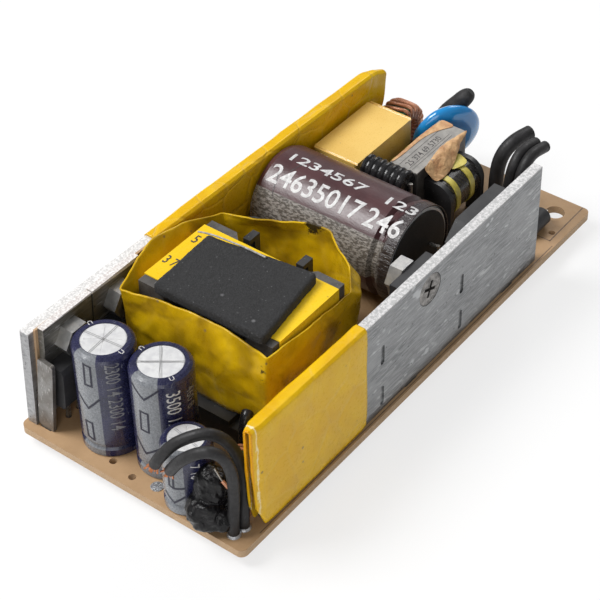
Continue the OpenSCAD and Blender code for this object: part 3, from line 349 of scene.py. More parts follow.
class Nodes:
    """A node tree with short calls for the nodes that the finishes use."""

    def __init__(self, tree: bpy.types.NodeTree) -> None:
        """Keeps the tree."""
        self.tree = tree

    def add(self, kind: str, inputs: dict[str | int, Feed] | None = None,
            **settings: object) -> bpy.types.Node:
        """Adds a node.

        Args:
            kind: The node's type.
            inputs: Values or sockets for its inputs, by name or number.
            settings: Properties of the node.

        Returns:
            The node.
        """
        node = self.tree.nodes.new(kind)
        for key, value in settings.items():
            setattr(node, key, value)
        for key, value in (inputs or {}).items():
            self.feed(node.inputs[key], value)
        return node

    def feed(self, socket: Out, value: Feed) -> None:
        """Links a socket or sets its value.

        Args:
            socket: An input.
            value: An output to link, or a plain value.
        """
        if isinstance(value, bpy.types.NodeSocket):
            self.tree.links.new(value, socket)
        else:
            socket.default_value = value

    def maths(self, operation: str, a: Feed, b: Feed = 0.0) -> Out:
        """Returns the output of a Math node."""
        return self.add("ShaderNodeMath", {0: a, 1: b}, operation=operation).outputs[0]

    def times(self, a: Feed, b: Feed) -> Out:
        """Returns the product of two values."""
        return self.maths("MULTIPLY", a, b)

    def plus(self, a: Feed, b: Feed) -> Out:
        """Returns the sum of two values."""
        return self.maths("ADD", a, b)

    def minus(self, a: Feed, b: Feed) -> Out:
        """Returns the difference of two values."""
        return self.maths("SUBTRACT", a, b)

    def vector(self, operation: str, a: Feed, b: Feed) -> bpy.types.Node:
        """Returns a Vector Math node, b being the scale where it scales."""
        return self.add("ShaderNodeVectorMath",
                        {0: a, "Scale" if operation == "SCALE" else 1: b},
                        operation=operation)

    def split(self, vector: Out) -> Sequence[Out]:
        """Returns the three components of a vector."""
        return self.add("ShaderNodeSeparateXYZ", {0: vector}).outputs

    def mix(self, factor: Feed, a: Feed, b: Feed, share: float = 1.0) -> Out:
        """Blends two colours.

        Args:
            factor: Where the second colour shows.
            a: The first colour.
            b: The second colour.
            share: How much of the second colour shows at a factor of 1.

        Returns:
            The blend.
        """
        factor = factor if share == 1.0 else self.times(factor, share)
        node = self.add("ShaderNodeMix", {"Factor": factor}, data_type="RGBA")
        for socket, value in ((node.inputs[6], a), (node.inputs[7], b)):
            self.feed(socket, value if isinstance(value, Out) else (*value[:3], 1.0))
        return node.outputs[2]

    def ramp(self, value: Feed, low: float, high: float, to_low: float = 0.0,
             to_high: float = 1.0) -> Out:
        """Returns the value mapped from one range to another, smoothly."""
        return self.add("ShaderNodeMapRange", {
            "Value": value, "From Min": low, "From Max": high, "To Min": to_low,
            "To Max": to_high}, interpolation_type="SMOOTHSTEP").outputs[0]

    def noise(self, vector: Out, scale: Feed, detail: float = 3.0,
              roughness: float = 0.55, distortion: float = 0.0) -> Out:
        """Returns the value of a noise texture."""
        return self.add("ShaderNodeTexNoise", {
            "Vector": vector, "Scale": scale, "Detail": detail, "Roughness": roughness,
            "Distortion": distortion}).outputs["Fac"]

    def stretched(self, vector: Out, scale: Point = (1, 1, 1),
                  rotation: Point = (0, 0, 0)) -> Out:
        """Returns the vector turned and stretched by a Mapping node."""
        return self.add("ShaderNodeMapping", {"Vector": vector, "Rotation": rotation,
                                              "Scale": scale}).outputs[0]

    def between(self, value: Out, low: float, high: float, soft: float) -> Out:
        """Returns 1 where the value lies between two limits, with soft edges."""
        return self.times(self.ramp(value, low - soft, low + soft),
                          self.ramp(value, high - soft, high + soft, 1.0, 0.0))

    def group(self, tree: bpy.types.NodeTree, **inputs: Feed) -> Sequence[Out]:
        """Returns the outputs of a shader group that is placed here."""
        return self.add("ShaderNodeGroup", inputs, node_tree=tree).outputs


class Group(Nodes):
    """A shader group in the making, with a Vector and plain values as inputs."""

    def __init__(self, name: str, outs: Sequence[str], **values: float) -> None:
        """Makes the group and its sockets.

        Args:
            name: The group's name.
            outs: Names of its outputs.
            values: Names and defaults of its inputs beside Vector.
        """
        super().__init__(bpy.data.node_groups.new(name, "ShaderNodeTree"))
        self.socket("Vector", "INPUT", Socket.VECTOR)
        for key, value in values.items():
            self.socket(key, "INPUT", Socket.VALUE).default_value = value
        for key in outs:
            self.socket(key, "OUTPUT", Socket.VALUE)
        self.given = self.add("NodeGroupInput").outputs
        self.result = self.add("NodeGroupOutput").inputs
        self.place = self.given["Vector"]

    def socket(self, key: str, side: str,
               kind: Socket) -> bpy.types.NodeTreeInterfaceSocket:
        """Returns a new socket of the group's interface."""
        return self.tree.interface.new_socket(key, in_out=side, socket_type=kind.value)

    def over(self, key: str) -> Out:
        """Returns 1 over an input, so that a size becomes a scale."""
        return self.maths("DIVIDE", 1.0, self.given[key])

    def give(self, **outs: Out) -> bpy.types.NodeTree:
        """Links the group's outputs and returns its tree."""
        for key, value in outs.items():
            self.feed(self.result[key], value)
        return self.tree


class Effects:
    """The shader groups that more than one finish uses. Lengths are millimetres."""

    def __init__(self) -> None:
        """Builds the groups once."""
        self.mottle = self._mottle()
        self.scratches = self._scratches()
        self.specks = self._specks()
        self.creases = self._creases()
        self.axis = self._axis()

    @staticmethod
    def _mottle() -> bpy.types.NodeTree:
        """Returns a group of broad blotches with a fine grain on them."""
        n = Group("mottle", ("Mask", "Height"), Size=4.0, Grain=0.3)
        broad = n.noise(n.place, n.over("Size"), 4.0, 0.6, 0.3)
        return n.give(Mask=n.ramp(broad, 0.34, 0.66),
                      Height=n.noise(n.place, n.over("Grain"), 2.0, 0.6))

    @staticmethod
    def _scratches() -> bpy.types.NodeTree:
        """Returns a group of thin straight scratches in three directions."""
        n = Group("scratches", ("Mask",), Amount=0.5)
        masks = []
        for turn, stretch in ((0.5, (0.25, 6, 0.5)), (-0.9, (0.2, 7, 0.4)),
                              (1.35, (0.35, 5, 0.6))):
            v = n.stretched(n.place, stretch, (0.3 * turn, turn, turn))
            masks.append(n.ramp(n.noise(v, 1.0, 2.0, 0.5), 0.68, 0.76))
        every = n.maths("MAXIMUM", n.maths("MAXIMUM", masks[0], masks[1]), masks[2])
        return n.give(Mask=n.times(every, n.given["Amount"]))

    @staticmethod
    def _specks() -> bpy.types.NodeTree:
        """Returns a group of small separate specks, as of dust or glitter."""
        n = Group("specks", ("Mask",), Pitch=0.6, Share=0.3)
        cells = n.add("ShaderNodeTexVoronoi", {"Vector": n.place,
                                               "Scale": n.over("Pitch")}).outputs
        near = n.ramp(cells["Distance"], 0.1, 0.26, 1.0, 0.0)
        chosen = n.maths("LESS_THAN", n.split(cells["Color"])[0], n.given["Share"])
        return n.give(Mask=n.times(near, chosen))

    @staticmethod
    def _creases() -> bpy.types.NodeTree:
        """Returns a group of the sharp creases and soft dents of a thin film."""
        n = Group("creases", ("Height", "Line"), Size=5.0)
        scale = n.over("Size")
        stray = n.add("ShaderNodeTexNoise", {"Vector": n.place, "Scale": scale})
        bent = n.vector("ADD", n.place, n.vector("SCALE", stray.outputs["Color"],
                                                 3.0).outputs[0]).outputs[0]
        cells = n.add("ShaderNodeTexVoronoi", {"Vector": bent, "Scale": scale},
                      feature="DISTANCE_TO_EDGE")
        line = n.ramp(cells.outputs["Distance"], 0.0, 0.07, 1.0, 0.0)
        soft = n.noise(n.place, scale, 2.0, 0.4, 0.6)
        return n.give(Height=n.minus(soft, n.times(line, 0.22)), Line=line)

    @staticmethod
    def _axis() -> bpy.types.NodeTree:
        """Returns a group that gives the angle in degrees and the radius on Z."""
        n = Group("round_an_axis", ("Angle", "Radius"))
        x, y, _ = n.split(n.place)
        return n.give(
            Angle=n.times(n.maths("ARCTAN2", y, x), math.degrees(1)),
            Radius=n.maths("SQRT", n.plus(n.times(x, x), n.times(y, y))))


EFFECTS = Effects()


class Shader(Nodes):
    """A material's nodes, with object coordinates in millimetres."""

    def __init__(self, name: str) -> None:
        """Makes the material and its coordinates."""
        self.material = bpy.data.materials.new(name)
        self.material.use_nodes = True
        super().__init__(self.material.node_tree)
        self.surface = self.tree.nodes["Principled BSDF"]
        coords = self.add("ShaderNodeTexCoord").outputs["Object"]
        self.place = self.vector("SCALE", coords, 1 / MM).outputs[0]

    def mottle(self, size: float, grain: float,
               place: Out | None = None) -> Sequence[Out]:
        """Returns the Mask and Height of blotches and grain of two sizes."""
        return self.group(EFFECTS.mottle, Vector=place or self.place, Size=size,
                          Grain=grain)

    def scratches(self, amount: float) -> Out:
        """Returns the mask of thin scratches."""
        return self.group(EFFECTS.scratches, Vector=self.place, Amount=amount)["Mask"]

    def specks(self, pitch: float, share: float) -> Out:
        """Returns the mask of specks in a share of the cells of one pitch."""
        return self.group(EFFECTS.specks, Vector=self.place, Pitch=pitch,
                          Share=share)["Mask"]

    def rough(self, grain: Out, smooth: float, matt: float) -> Out:
        """Returns a roughness that follows a grain from one value to another."""
        return self.ramp(grain, 0.3, 0.7, smooth, matt)

    def bump(self, height: Out, depth_mm: float) -> Out:
        """Returns the normal of a bumpy surface, from a height of 0 to 1."""
        return self.add("ShaderNodeBump", {"Height": height, "Strength": 1.0,
                                           "Distance": depth_mm * MM}).outputs[0]

    def set(self, **values: Feed) -> bpy.types.Material:
        """Feeds the surface's sockets, written with _ for a space.

        Args:
            values: The sockets' names and what they get.

        Returns:
            The material.
        """
        for key, value in values.items():
            name = key.replace("_", " ").title().replace("Ior", "IOR")
            self.feed(self.surface.inputs[name], value)
        return self.material


@dataclass(frozen=True)
class Finish:
    """A surface with a mottled colour, a fine grain, specks and scratches."""

    name: str
    colour: Colour
    second: Colour
    roughness: tuple[float, float] = (0.4, 0.55)
    metallic: float = 0.0
    coat: float = 0.0
    blotch_mm: float = 4.0
    grain_mm: float = 0.25
    depth_mm: float = 0.02
    specks: float = 0.0
    speck_colour: Colour = (0.5, 0.48, 0.44)
    scratches: float = 0.0
    scratch_colour: Colour = (0.6, 0.58, 0.55)
    shine: float = 0.5

    def build(self) -> bpy.types.Material:
        """Returns the finish's material."""
        s = Shader(self.name)
        mottle = s.mottle(self.blotch_mm, self.grain_mm)
        colour = s.mix(mottle["Mask"], self.colour, self.second)
        if self.scratches:
            colour = s.mix(s.scratches(self.scratches), colour, self.scratch_colour)
        if self.specks:
            colour = s.mix(s.specks(0.5, self.specks), colour, self.speck_colour)
        return s.set(base_color=colour, metallic=self.metallic, coat_weight=self.coat,
                     specular_ior_level=self.shine,
                     roughness=s.rough(mottle["Height"], *self.roughness),
                     normal=s.bump(mottle["Height"], self.depth_mm))


@dataclass(frozen=True)
class PlateFinish:
    """Sheared aluminium plate: mottled, scratched and rubbed, bright at the top edge with
    a painted highlight speckled by wear.

    Attributes:
        edge_top: Height of the top edge where x is 0, in millimetres.
        edge_fall: Slope of the top edge.
    """

    name: str
    edge_top: float
    edge_fall: float = 0.0
    dark: Colour = (0.15, 0.155, 0.16)
    pale: Colour = (0.34, 0.345, 0.35)
    edge_dark: Colour = (0.42, 0.42, 0.42)
    edge_pale: Colour = (0.66, 0.65, 0.65)
    scratch: Colour = (0.5, 0.51, 0.52)
    pit: Colour = (0.06, 0.06, 0.06)
    smear: Colour = (0.55, 0.555, 0.56)

    def build(self) -> bpy.types.Material:
        """Returns the plate's material."""
        s = Shader(self.name)
        x, _, z = s.split(s.place)
        broad = s.mottle(6.0, 0.5, s.stretched(s.place, (0.5, 1, 1.1)))
        rolled = s.noise(s.stretched(s.place, (0.3, 1, 2.6), (0, 0.5, 0)), 1.1, 4.0, 0.7)
        smears = s.noise(s.stretched(s.place, (0.22, 1, 1.4), (0, 1.1, 0)), 0.7, 4.0,
                         0.75)
        marks = s.scratches(0.8)
        colour = s.mix(s.ramp(rolled, 0.36, 0.66), self.dark, self.pale)
        colour = s.mix(broad["Mask"], colour, self.pale, 0.45)
        colour = s.mix(marks, colour, self.scratch)
        colour = s.mix(s.specks(0.9, 0.16), colour, self.pit, 0.7)
        colour = s.mix(s.ramp(smears, 0.56, 0.68, 0.0, 0.6), colour, self.smear)
        # Painted highlight: the top edge turns a speckled pale grey and loses most of its
        # metallic shine.
        top = s.plus(z, s.times(x, self.edge_fall))
        edge = s.ramp(top, self.edge_top - 0.3, self.edge_top - 0.1)
        wear_and_painted_highlight = s.mix(s.ramp(s.noise(s.place, 2.4, 3.0, 0.7), 0.42, 0.6),
                     self.edge_dark, self.edge_pale)
        height = s.plus(s.times(broad["Height"], 0.5), rolled)
        return s.set(base_color=s.mix(edge, colour, wear_and_painted_highlight),
                     metallic=s.ramp(edge, 0.0, 1.0, 0.8, 0.1),
                     roughness=s.rough(rolled, 0.34, 0.56),
                     normal=s.bump(s.minus(height, s.times(marks, 0.5)), 0.05))


@dataclass(frozen=True)
class TapeFinish:
    """Yellow polyester tape: glossy, creased, and orange where it lies in its own shade.

    Attributes:
        blotched: Whether it has dark brown blotches.
        black: Middle and reach of its black marks, in millimetres.
        torn_x: Where its ripped near end begins, or 0; painted orange shade and a painted
            highlight line are laid from there.
    """

    name: str
    colour: Colour = (0.76, 0.47, 0.004)
    deep: Colour = (0.62, 0.33, 0.003)
    crease_mm: float = 7.0
    depth_mm: float = 0.35
    crease_show: float = 0.1
    blotched: bool = False
    black: tuple[tuple[Point, float], ...] = ()
    torn_x: float = 0.0

    def build(self) -> bpy.types.Material:
        """Returns the tape's material."""
        s = Shader(self.name)
        mottle = s.mottle(9.0, 0.6)
        folds = s.group(EFFECTS.creases, Vector=s.place, Size=self.crease_mm)
        colour = s.mix(mottle["Mask"], self.colour, self.deep, 0.6)
        colour = s.mix(folds["Line"], colour, (0.9, 0.7, 0.2), self.crease_show)
        if self.blotched:
            # Darker brown blotches over the whole tape.
            brown_blotches = s.ramp(s.noise(s.place, 0.16, 3.0, 0.45, 0.5), 0.44, 0.7)
            colour = s.mix(brown_blotches, colour, (0.20, 0.11, 0.006), 0.72)
        for centre, reach in self.black:
            near = s.vector("DISTANCE", s.place, centre).outputs["Value"]
            away = s.plus(near, s.times(s.noise(s.place, 0.9, 4.0, 0.8), 5.0))
            colour = s.mix(s.ramp(away, reach + 1.6, reach + 2.2, 0.95, 0.0), colour,
                           (0.012, 0.01, 0.008))
        colour = s.mix(s.specks(1.4, 0.05), colour, (0.25, 0.16, 0.05))
        if self.torn_x:
            colour = self.paint_end_shade_and_highlight(s, colour)
        return s.set(base_color=colour, coat_weight=0.02, specular_ior_level=0.2,
                     roughness=s.rough(mottle["Height"], 0.24, 0.4),
                     normal=s.bump(folds["Height"], self.depth_mm))

    def paint_end_shade_and_highlight(self, s: Shader, colour: Out) -> Out:
        """Returns the colour with painted orange shade over the near end and a pale ragged
        painted highlight line by it.
        """
        x = s.split(s.place)[0]
        # Painted shade: orange on the inside of the near end.
        colour = s.mix(s.ramp(x, self.torn_x + 0.1, self.torn_x + 0.5, 0.85, 0.0), colour,
                       (0.70, 0.30, 0.002))
        # Painted highlight: a pale ragged line a little way in from the end.
        rag = s.noise(s.stretched(s.place, (1, 1, 0.35)), 1.3, 3.0, 0.7)
        streak = s.between(s.plus(x, s.times(rag, 1.6)), self.torn_x + 1.75,
                           self.torn_x + 2.0, 0.12)
        return s.mix(streak, colour, (0.92, 0.86, 0.62), 0.75)


@dataclass(frozen=True)
class LaminateFinish:
    """Paper laminate board: tan, with the sheets showing along its cut edges.

    Attributes:
        edge: Lower and upper height of the cut edge, in millimetres.
        sheet_mm: Thickness of one pair of sheets.
    """

    name: str = "laminate"
    top: Colour = (0.45, 0.285, 0.15)
    second: Colour = (0.38, 0.235, 0.12)
    dust: Colour = (0.34, 0.22, 0.11)
    sheets: tuple[Colour, Colour] = ((0.33, 0.20, 0.10), (0.56, 0.39, 0.23))
    edge: tuple[float, float] = (2.3, 3.62)
    sheet_mm: float = 0.28

    def build(self) -> bpy.types.Material:
        """Returns the board's material."""
        s = Shader(self.name)
        z = s.split(s.place)[2]
        mottle = s.mottle(12.0, 0.35)
        weave = s.noise(s.stretched(s.place, (1, 1, 12)), 1.6, 4.0, 0.7)
        side = s.between(z, *self.edge, 0.03)
        band = s.maths("SINE", s.times(z, 2 * math.pi / self.sheet_mm))
        layers = s.mix(s.ramp(s.plus(band, s.times(weave, 1.4)), 0.0, 1.4), *self.sheets)
        colour = s.mix(mottle["Mask"], self.top, self.second)
        colour = s.mix(side, colour, layers)
        colour = s.mix(s.specks(1.1, 0.07), colour, self.dust, 0.6)
        return s.set(base_color=colour, roughness=s.rough(mottle["Height"], 0.5, 0.68),
                     normal=s.bump(s.plus(mottle["Height"], s.times(side, weave)), 0.03))


@dataclass(frozen=True)
class PrintedSleeve:
    """Shrunk navy sleeves with a grey stripe down each can.

    Attributes:
        rim: How far in from the wall the stripe runs on over the top.
    """

    name: str = "navy_sleeve"
    colour: Colour = (0.010, 0.011, 0.040)
    second: Colour = (0.018, 0.019, 0.062)
    stripe: tuple[Colour, Colour] = ((0.14, 0.15, 0.165), (0.21, 0.22, 0.235))
    scratch: Colour = (0.3, 0.31, 0.34)
    rim: float = 1.35

    def build(self) -> bpy.types.Material:
        """Returns the sleeves' material."""
        s = Shader(self.name)
        grime = s.mottle(2.6, 0.3)
        stripes: Feed = 0.0
        for can in CANS:
            at = s.vector("SUBTRACT", s.place, (can.x, can.y, 0)).outputs[0]
            turn = -math.radians((can.first + can.last) / 2)
            polar = s.group(EFFECTS.axis, Vector=s.stretched(at, rotation=(0, 0, turn)))
            half = (can.last - can.first) / 2
            mask = s.times(s.between(polar["Angle"], -half, half, 0.9),
                           s.maths("LESS_THAN", polar["Radius"], can.radius + 0.5))
            mask = s.times(mask, s.maths("GREATER_THAN", polar["Radius"],
                                         can.radius - self.rim))
            stripes = s.maths("MAXIMUM", stripes, mask)
        wear_and_painted_highlight = s.mix(s.ramp(s.noise(s.place, 3.0, 3.0, 0.7), 0.35, 0.65), *self.stripe)
        colour = s.mix(grime["Mask"], self.colour, self.second)
        colour = s.mix(stripes, colour, wear_and_painted_highlight)
        colour = s.mix(s.scratches(0.35), colour, self.scratch)
        return s.set(base_color=colour, coat_weight=0.3, coat_roughness=0.15,
                     roughness=s.rough(grime["Height"], 0.22, 0.36),
                     normal=s.bump(s.noise(s.place, 0.8, 3.0), 0.05))


@dataclass(frozen=True)
class ReservoirSleeve:
    """Shrunk dark brown sleeve with a grey stripe, wrinkled and dark at the bung end.

    Attributes:
        axis: The can's axis, as x and z in millimetres.
        stripe: The stripe's two angles round it.
        dark_from: Where along Y the dark end begins.
    """

    name: str = "brown_sleeve"
    film: tuple[Colour, Colour] = ((0.050, 0.016, 0.019), (0.072, 0.026, 0.029))
    hatch: tuple[Colour, Colour] = ((0.085, 0.075, 0.065), (0.29, 0.27, 0.25))
    dark: Colour = (0.014, 0.008, 0.009)
    axis: tuple[float, float] = (12.8, 12.85)
    stripe: tuple[float, float] = (138.0, 186.0)
    dark_from: float = -8.3

    def build(self) -> bpy.types.Material:
        """Returns the sleeve's material."""
        s = Shader(self.name)
        x, y, z = s.split(s.place)
        turn = s.maths("ARCTAN2", s.minus(z, self.axis[1]), s.minus(x, self.axis[0]))
        angle = s.times(turn, math.degrees(1))
        angle = s.plus(angle, s.times(s.maths("LESS_THAN", angle, -90.0), 360))
        film = s.mottle(5.0, 0.25)
        hatch = s.noise(s.stretched(s.place, (1, 0.35, 1)), 3.4, 2.0, 0.7)
        end = s.ramp(s.plus(y, s.times(film["Mask"], 0.5)), self.dark_from - 0.6,
                     self.dark_from + 0.4, 1.0, 0.0)
        colour = s.mix(film["Mask"], *self.film)
        colour = s.mix(s.between(angle, *self.stripe, 0.6), colour,
                       s.mix(s.ramp(hatch, 0.42, 0.6), *self.hatch))
        colour = s.mix(end, colour, self.dark, 0.9)
        wrinkle = s.noise(s.stretched(s.place, (1.6, 0.25, 1.6)), 1.0, 3.0, 0.6, 0.5)
        height = s.plus(s.times(film["Height"], 0.08),
                        s.times(wrinkle, s.ramp(end, 0, 1, 0.12, 1.6)))
        return s.set(base_color=colour, coat_weight=0.2, coat_roughness=0.25,
                     roughness=s.rough(film["Height"], 0.3, 0.42),
                     normal=s.bump(height, 0.3))


@dataclass(frozen=True)
class FoamFinish:
    """Black foam: matt, open pored, with bright specks."""

    name: str = "foam"
    pores: tuple[Colour, Colour] = ((0.012, 0.012, 0.0125), (0.042, 0.042, 0.044))
    dust: Colour = (0.15, 0.15, 0.155)
    glint: Colour = (0.3, 0.3, 0.31)

    def build(self) -> bpy.types.Material:
        """Returns the foam's material."""
        s = Shader(self.name)
        pores = s.noise(s.place, 3.2, 4.0, 0.75)
        colour = s.mix(s.ramp(pores, 0.35, 0.7), *self.pores)
        colour = s.mix(s.specks(0.62, 0.16), colour, self.dust, 0.6)
        colour = s.mix(s.specks(1.9, 0.12), colour, self.glint, 0.5)
        return s.set(base_color=colour, roughness=s.rough(pores, 0.72, 0.9),
                     normal=s.bump(pores, 0.34))


@dataclass(frozen=True)
class WoundFinish:
    """Black taped winding with the turns showing through along one axis."""

    name: str = "black_winding"
    pitch_mm: float = 0.8
    lean: float = 0.35
    film: tuple[Colour, Colour] = ((0.012, 0.011, 0.012), (0.028, 0.024, 0.022))

    def build(self) -> bpy.types.Material:
        """Returns the winding's material."""
        s = Shader(self.name)
        x, y, z = s.split(s.place)
        along = s.plus(x, s.times(s.plus(y, z), self.lean))
        wave = s.maths("SINE", s.times(along, 2 * math.pi / self.pitch_mm))
        mottle = s.mottle(2.2, 0.3)
        height = s.plus(s.times(wave, 0.35), s.noise(s.place, 0.6, 2.0))
        return s.set(base_color=s.mix(mottle["Mask"], *self.film), coat_weight=0.4,
                     coat_roughness=0.12, roughness=s.rough(mottle["Height"], 0.2, 0.4),
                     normal=s.bump(height, 0.22))


FINISHES: dict[str, object] = {f.name: f for f in (
    LaminateFinish(),
    Finish("solder", (0.55, 0.56, 0.57), (0.42, 0.43, 0.45), (0.25, 0.42), 0.85,
           depth_mm=0.04, blotch_mm=1.0),
    Finish("mould", (0.022, 0.022, 0.024), (0.034, 0.034, 0.036), (0.5, 0.62),
           grain_mm=0.12, specks=0.05, speck_colour=(0.12, 0.12, 0.12)),
    Finish("chip", (0.018, 0.018, 0.019), (0.03, 0.03, 0.03), (0.5, 0.6), grain_mm=0.1),
    Finish("opto", (0.55, 0.52, 0.44), (0.48, 0.45, 0.38), (0.45, 0.55), grain_mm=0.15),
    Finish("blue_coat", (0.008, 0.235, 0.58), (0.006, 0.18, 0.48), (0.12, 0.2), 0.0, 0.8,
           blotch_mm=5.0, depth_mm=0.03, grain_mm=1.6),
    PlateFinish("plate", BOARD_TOP + 20.7),
    PlateFinish("leaned_plate", BOARD_TOP + 20.36 - 49.3 * PLATE_FALL, PLATE_FALL,
                (0.22, 0.22, 0.225), (0.46, 0.46, 0.465), (0.60, 0.59, 0.58),
                (0.84, 0.83, 0.82)),
    PlateFinish("tab_plate", BOARD_TOP + 20.94 - 47.6 * PLATE_FALL, PLATE_FALL,
                (0.12, 0.115, 0.10), (0.27, 0.26, 0.235), (0.60, 0.55, 0.53),
                (0.84, 0.82, 0.80)),
    TapeFinish("yellow_tape"),
    TapeFinish("collar_tape", (0.66, 0.42, 0.005), (0.46, 0.265, 0.004), 9.0, 0.12,
               0.04, True, (((-0.9, 0.9, 23.4), 2.3), ((-0.9, 3.4, 23.9), 1.5),
                            ((-32.2, -12.9, 21.7), 0.9), ((-32.3, -13.2, 19.9), 0.6),
                            ((-2.6, -6.0, 25.0), 0.9), ((-25.0, 12.4, 25.2), 1.2))),
    TapeFinish("torn_tape_painted_end", crease_mm=9.0, depth_mm=0.2, crease_show=0.05, torn_x=-46.7),
    TapeFinish("strip_tape", (0.84, 0.56, 0.02), (0.78, 0.49, 0.012), 8.0, 0.08,
               0.02),
    Finish("dark_steel", (0.10, 0.095, 0.09), (0.30, 0.285, 0.27), (0.3, 0.5), 0.9,
           blotch_mm=1.3, depth_mm=0.05, scratches=0.5),
    Finish("zinc", (0.55, 0.54, 0.52), (0.42, 0.42, 0.42), (0.3, 0.45), 0.9,
           blotch_mm=1.5, scratches=0.4),
    Finish("insulator", (0.42, 0.26, 0.14), (0.5, 0.34, 0.2), (0.4, 0.5)),
    Finish("tinned_copper", (0.27, 0.262, 0.25), (0.17, 0.155, 0.14), (0.3, 0.45), 0.7,
           blotch_mm=3.0, scratches=1.0, scratch_colour=(0.80, 0.76, 0.72)),
    Finish("tin", (0.46, 0.44, 0.41), (0.28, 0.26, 0.235), (0.24, 0.4), 0.85,
           blotch_mm=2.6, scratches=0.5),
    Finish("can", (0.80, 0.80, 0.80), (0.68, 0.68, 0.69), (0.36, 0.5), 0.5,
           blotch_mm=1.6, grain_mm=0.12, depth_mm=0.03, scratches=0.35),
    PrintedSleeve(),
    ReservoirSleeve(),
    Finish("bung", (0.012, 0.012, 0.012), (0.02, 0.02, 0.02), (0.6, 0.7)),
    Finish("ferrite", (0.060, 0.056, 0.052), (0.10, 0.093, 0.087), (0.42, 0.58), 0.1,
           blotch_mm=1.8, grain_mm=0.18, depth_mm=0.05, specks=0.12,
           speck_colour=(0.16, 0.15, 0.145)),
    Finish("bobbin", (0.016, 0.016, 0.017), (0.03, 0.03, 0.031), (0.32, 0.46),
           specks=0.06, speck_colour=(0.14, 0.14, 0.14)),
    FoamFinish(),
    Finish("film_case", (0.78, 0.52, 0.135), (0.73, 0.47, 0.11), (0.26, 0.36), 0.0, 0.25,
           blotch_mm=7.0, specks=0.02, speck_colour=(0.35, 0.2, 0.08)),
    Finish("green_core", (0.012, 0.085, 0.04), (0.02, 0.11, 0.055), (0.3, 0.42)),
    Finish("enamelled_copper", (0.60, 0.27, 0.15), (0.40, 0.15, 0.07), (0.22, 0.36),
           0.25, 0.3, blotch_mm=1.6, depth_mm=0.01),
    Finish("bare_copper", (0.62, 0.24, 0.10), (0.42, 0.15, 0.06), (0.25, 0.4), 0.9,
           blotch_mm=0.6),
    Finish("sleeving", (0.010, 0.010, 0.011), (0.018, 0.017, 0.018), (0.2, 0.32), 0.0,
           0.12, shine=0.36, blotch_mm=1.8, grain_mm=0.5, depth_mm=0.06),
    WoundFinish(),
    Finish("black_tape", (0.003, 0.003, 0.0035), (0.008, 0.007, 0.008), (0.26, 0.4),
           blotch_mm=1.6, grain_mm=0.8, depth_mm=0.12, shine=0.3),
    Finish("dull_sleeve", (0.016, 0.016, 0.017), (0.03, 0.029, 0.03), (0.5, 0.62),
           blotch_mm=1.6, grain_mm=0.6, depth_mm=0.08, shine=0.3),
    Finish("pale_tape", (0.58, 0.49, 0.10), (0.40, 0.33, 0.05), (0.3, 0.42),
           blotch_mm=2.0, depth_mm=0.03),
    Finish("label_film", (0.25, 0.24, 0.225), (0.33, 0.315, 0.29), (0.35, 0.45), 0.1,
           blotch_mm=1.6, specks=0.1, speck_colour=(0.2, 0.17, 0.14)),
    Finish("masking_tape", (0.46, 0.24, 0.11), (0.66, 0.41, 0.20), (0.45, 0.6),
           blotch_mm=1.8, grain_mm=0.5, depth_mm=0.12, scratches=0.5,
           scratch_colour=(0.74, 0.52, 0.3)),
    Finish("lead_pvc", (0.012, 0.0115, 0.012), (0.022, 0.021, 0.022), (0.46, 0.6),
           shine=0.36, blotch_mm=2.4, grain_mm=0.5, depth_mm=0.03, scratches=0.25,
           scratch_colour=(0.1, 0.1, 0.105)),
    Finish("white_ink", (0.66, 0.66, 0.66), (0.44, 0.43, 0.43), (0.4, 0.5),
           blotch_mm=0.7),
    Finish("grey_edge", (0.42, 0.40, 0.38), (0.25, 0.24, 0.23), (0.35, 0.5),
           blotch_mm=1.2),
    Finish("grey_ink", (0.24, 0.24, 0.25), (0.14, 0.14, 0.155), (0.4, 0.5),
           blotch_mm=0.7),
    Finish("navy_ink", (0.004, 0.004, 0.018), (0.008, 0.008, 0.028), (0.4, 0.5),
           blotch_mm=0.7),
    Finish("score_ink", (0.30, 0.30, 0.30), (0.42, 0.42, 0.42), (0.4, 0.5), 0.4,
           blotch_mm=0.7),
    Finish("dark_ink", (0.03, 0.025, 0.03), (0.07, 0.06, 0.06), (0.4, 0.5),
           blotch_mm=0.7),
    Finish("sepia_ink", (0.12, 0.075, 0.045), (0.2, 0.13, 0.08), (0.5, 0.6),
           blotch_mm=0.9),
)}

MATERIALS: dict[str, bpy.types.Material] = {}


def material(name: str) -> bpy.types.Material:
    """Returns a finish's material, built once."""
    if name not in MATERIALS:
        MATERIALS[name] = FINISHES[name].build()
    return MATERIALS[name]


def dress(obj: bpy.types.Object, finish: str) -> None:
    """Gives a piece or a CAD node one finish."""
    obj.data.materials.clear()
    obj.data.materials.append(material(finish))


def seat(obj: bpy.types.Object, finish: str, slot: str, *nodes: str) -> None:
    """Dresses a new piece and fixes it to the part.

    Args:
        obj: The piece, in place.
        finish: The finish's name.
        slot: The record's material slot, or nothing for print. Not used.
        nodes: CAD nodes that the piece stands for.
    """
    dress(obj, finish)
    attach(obj, "root")
    if nodes:
        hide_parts(*nodes)
    log.info("%s: %s", obj.name, finish)


# ---------------------------------------------------------------------- leads

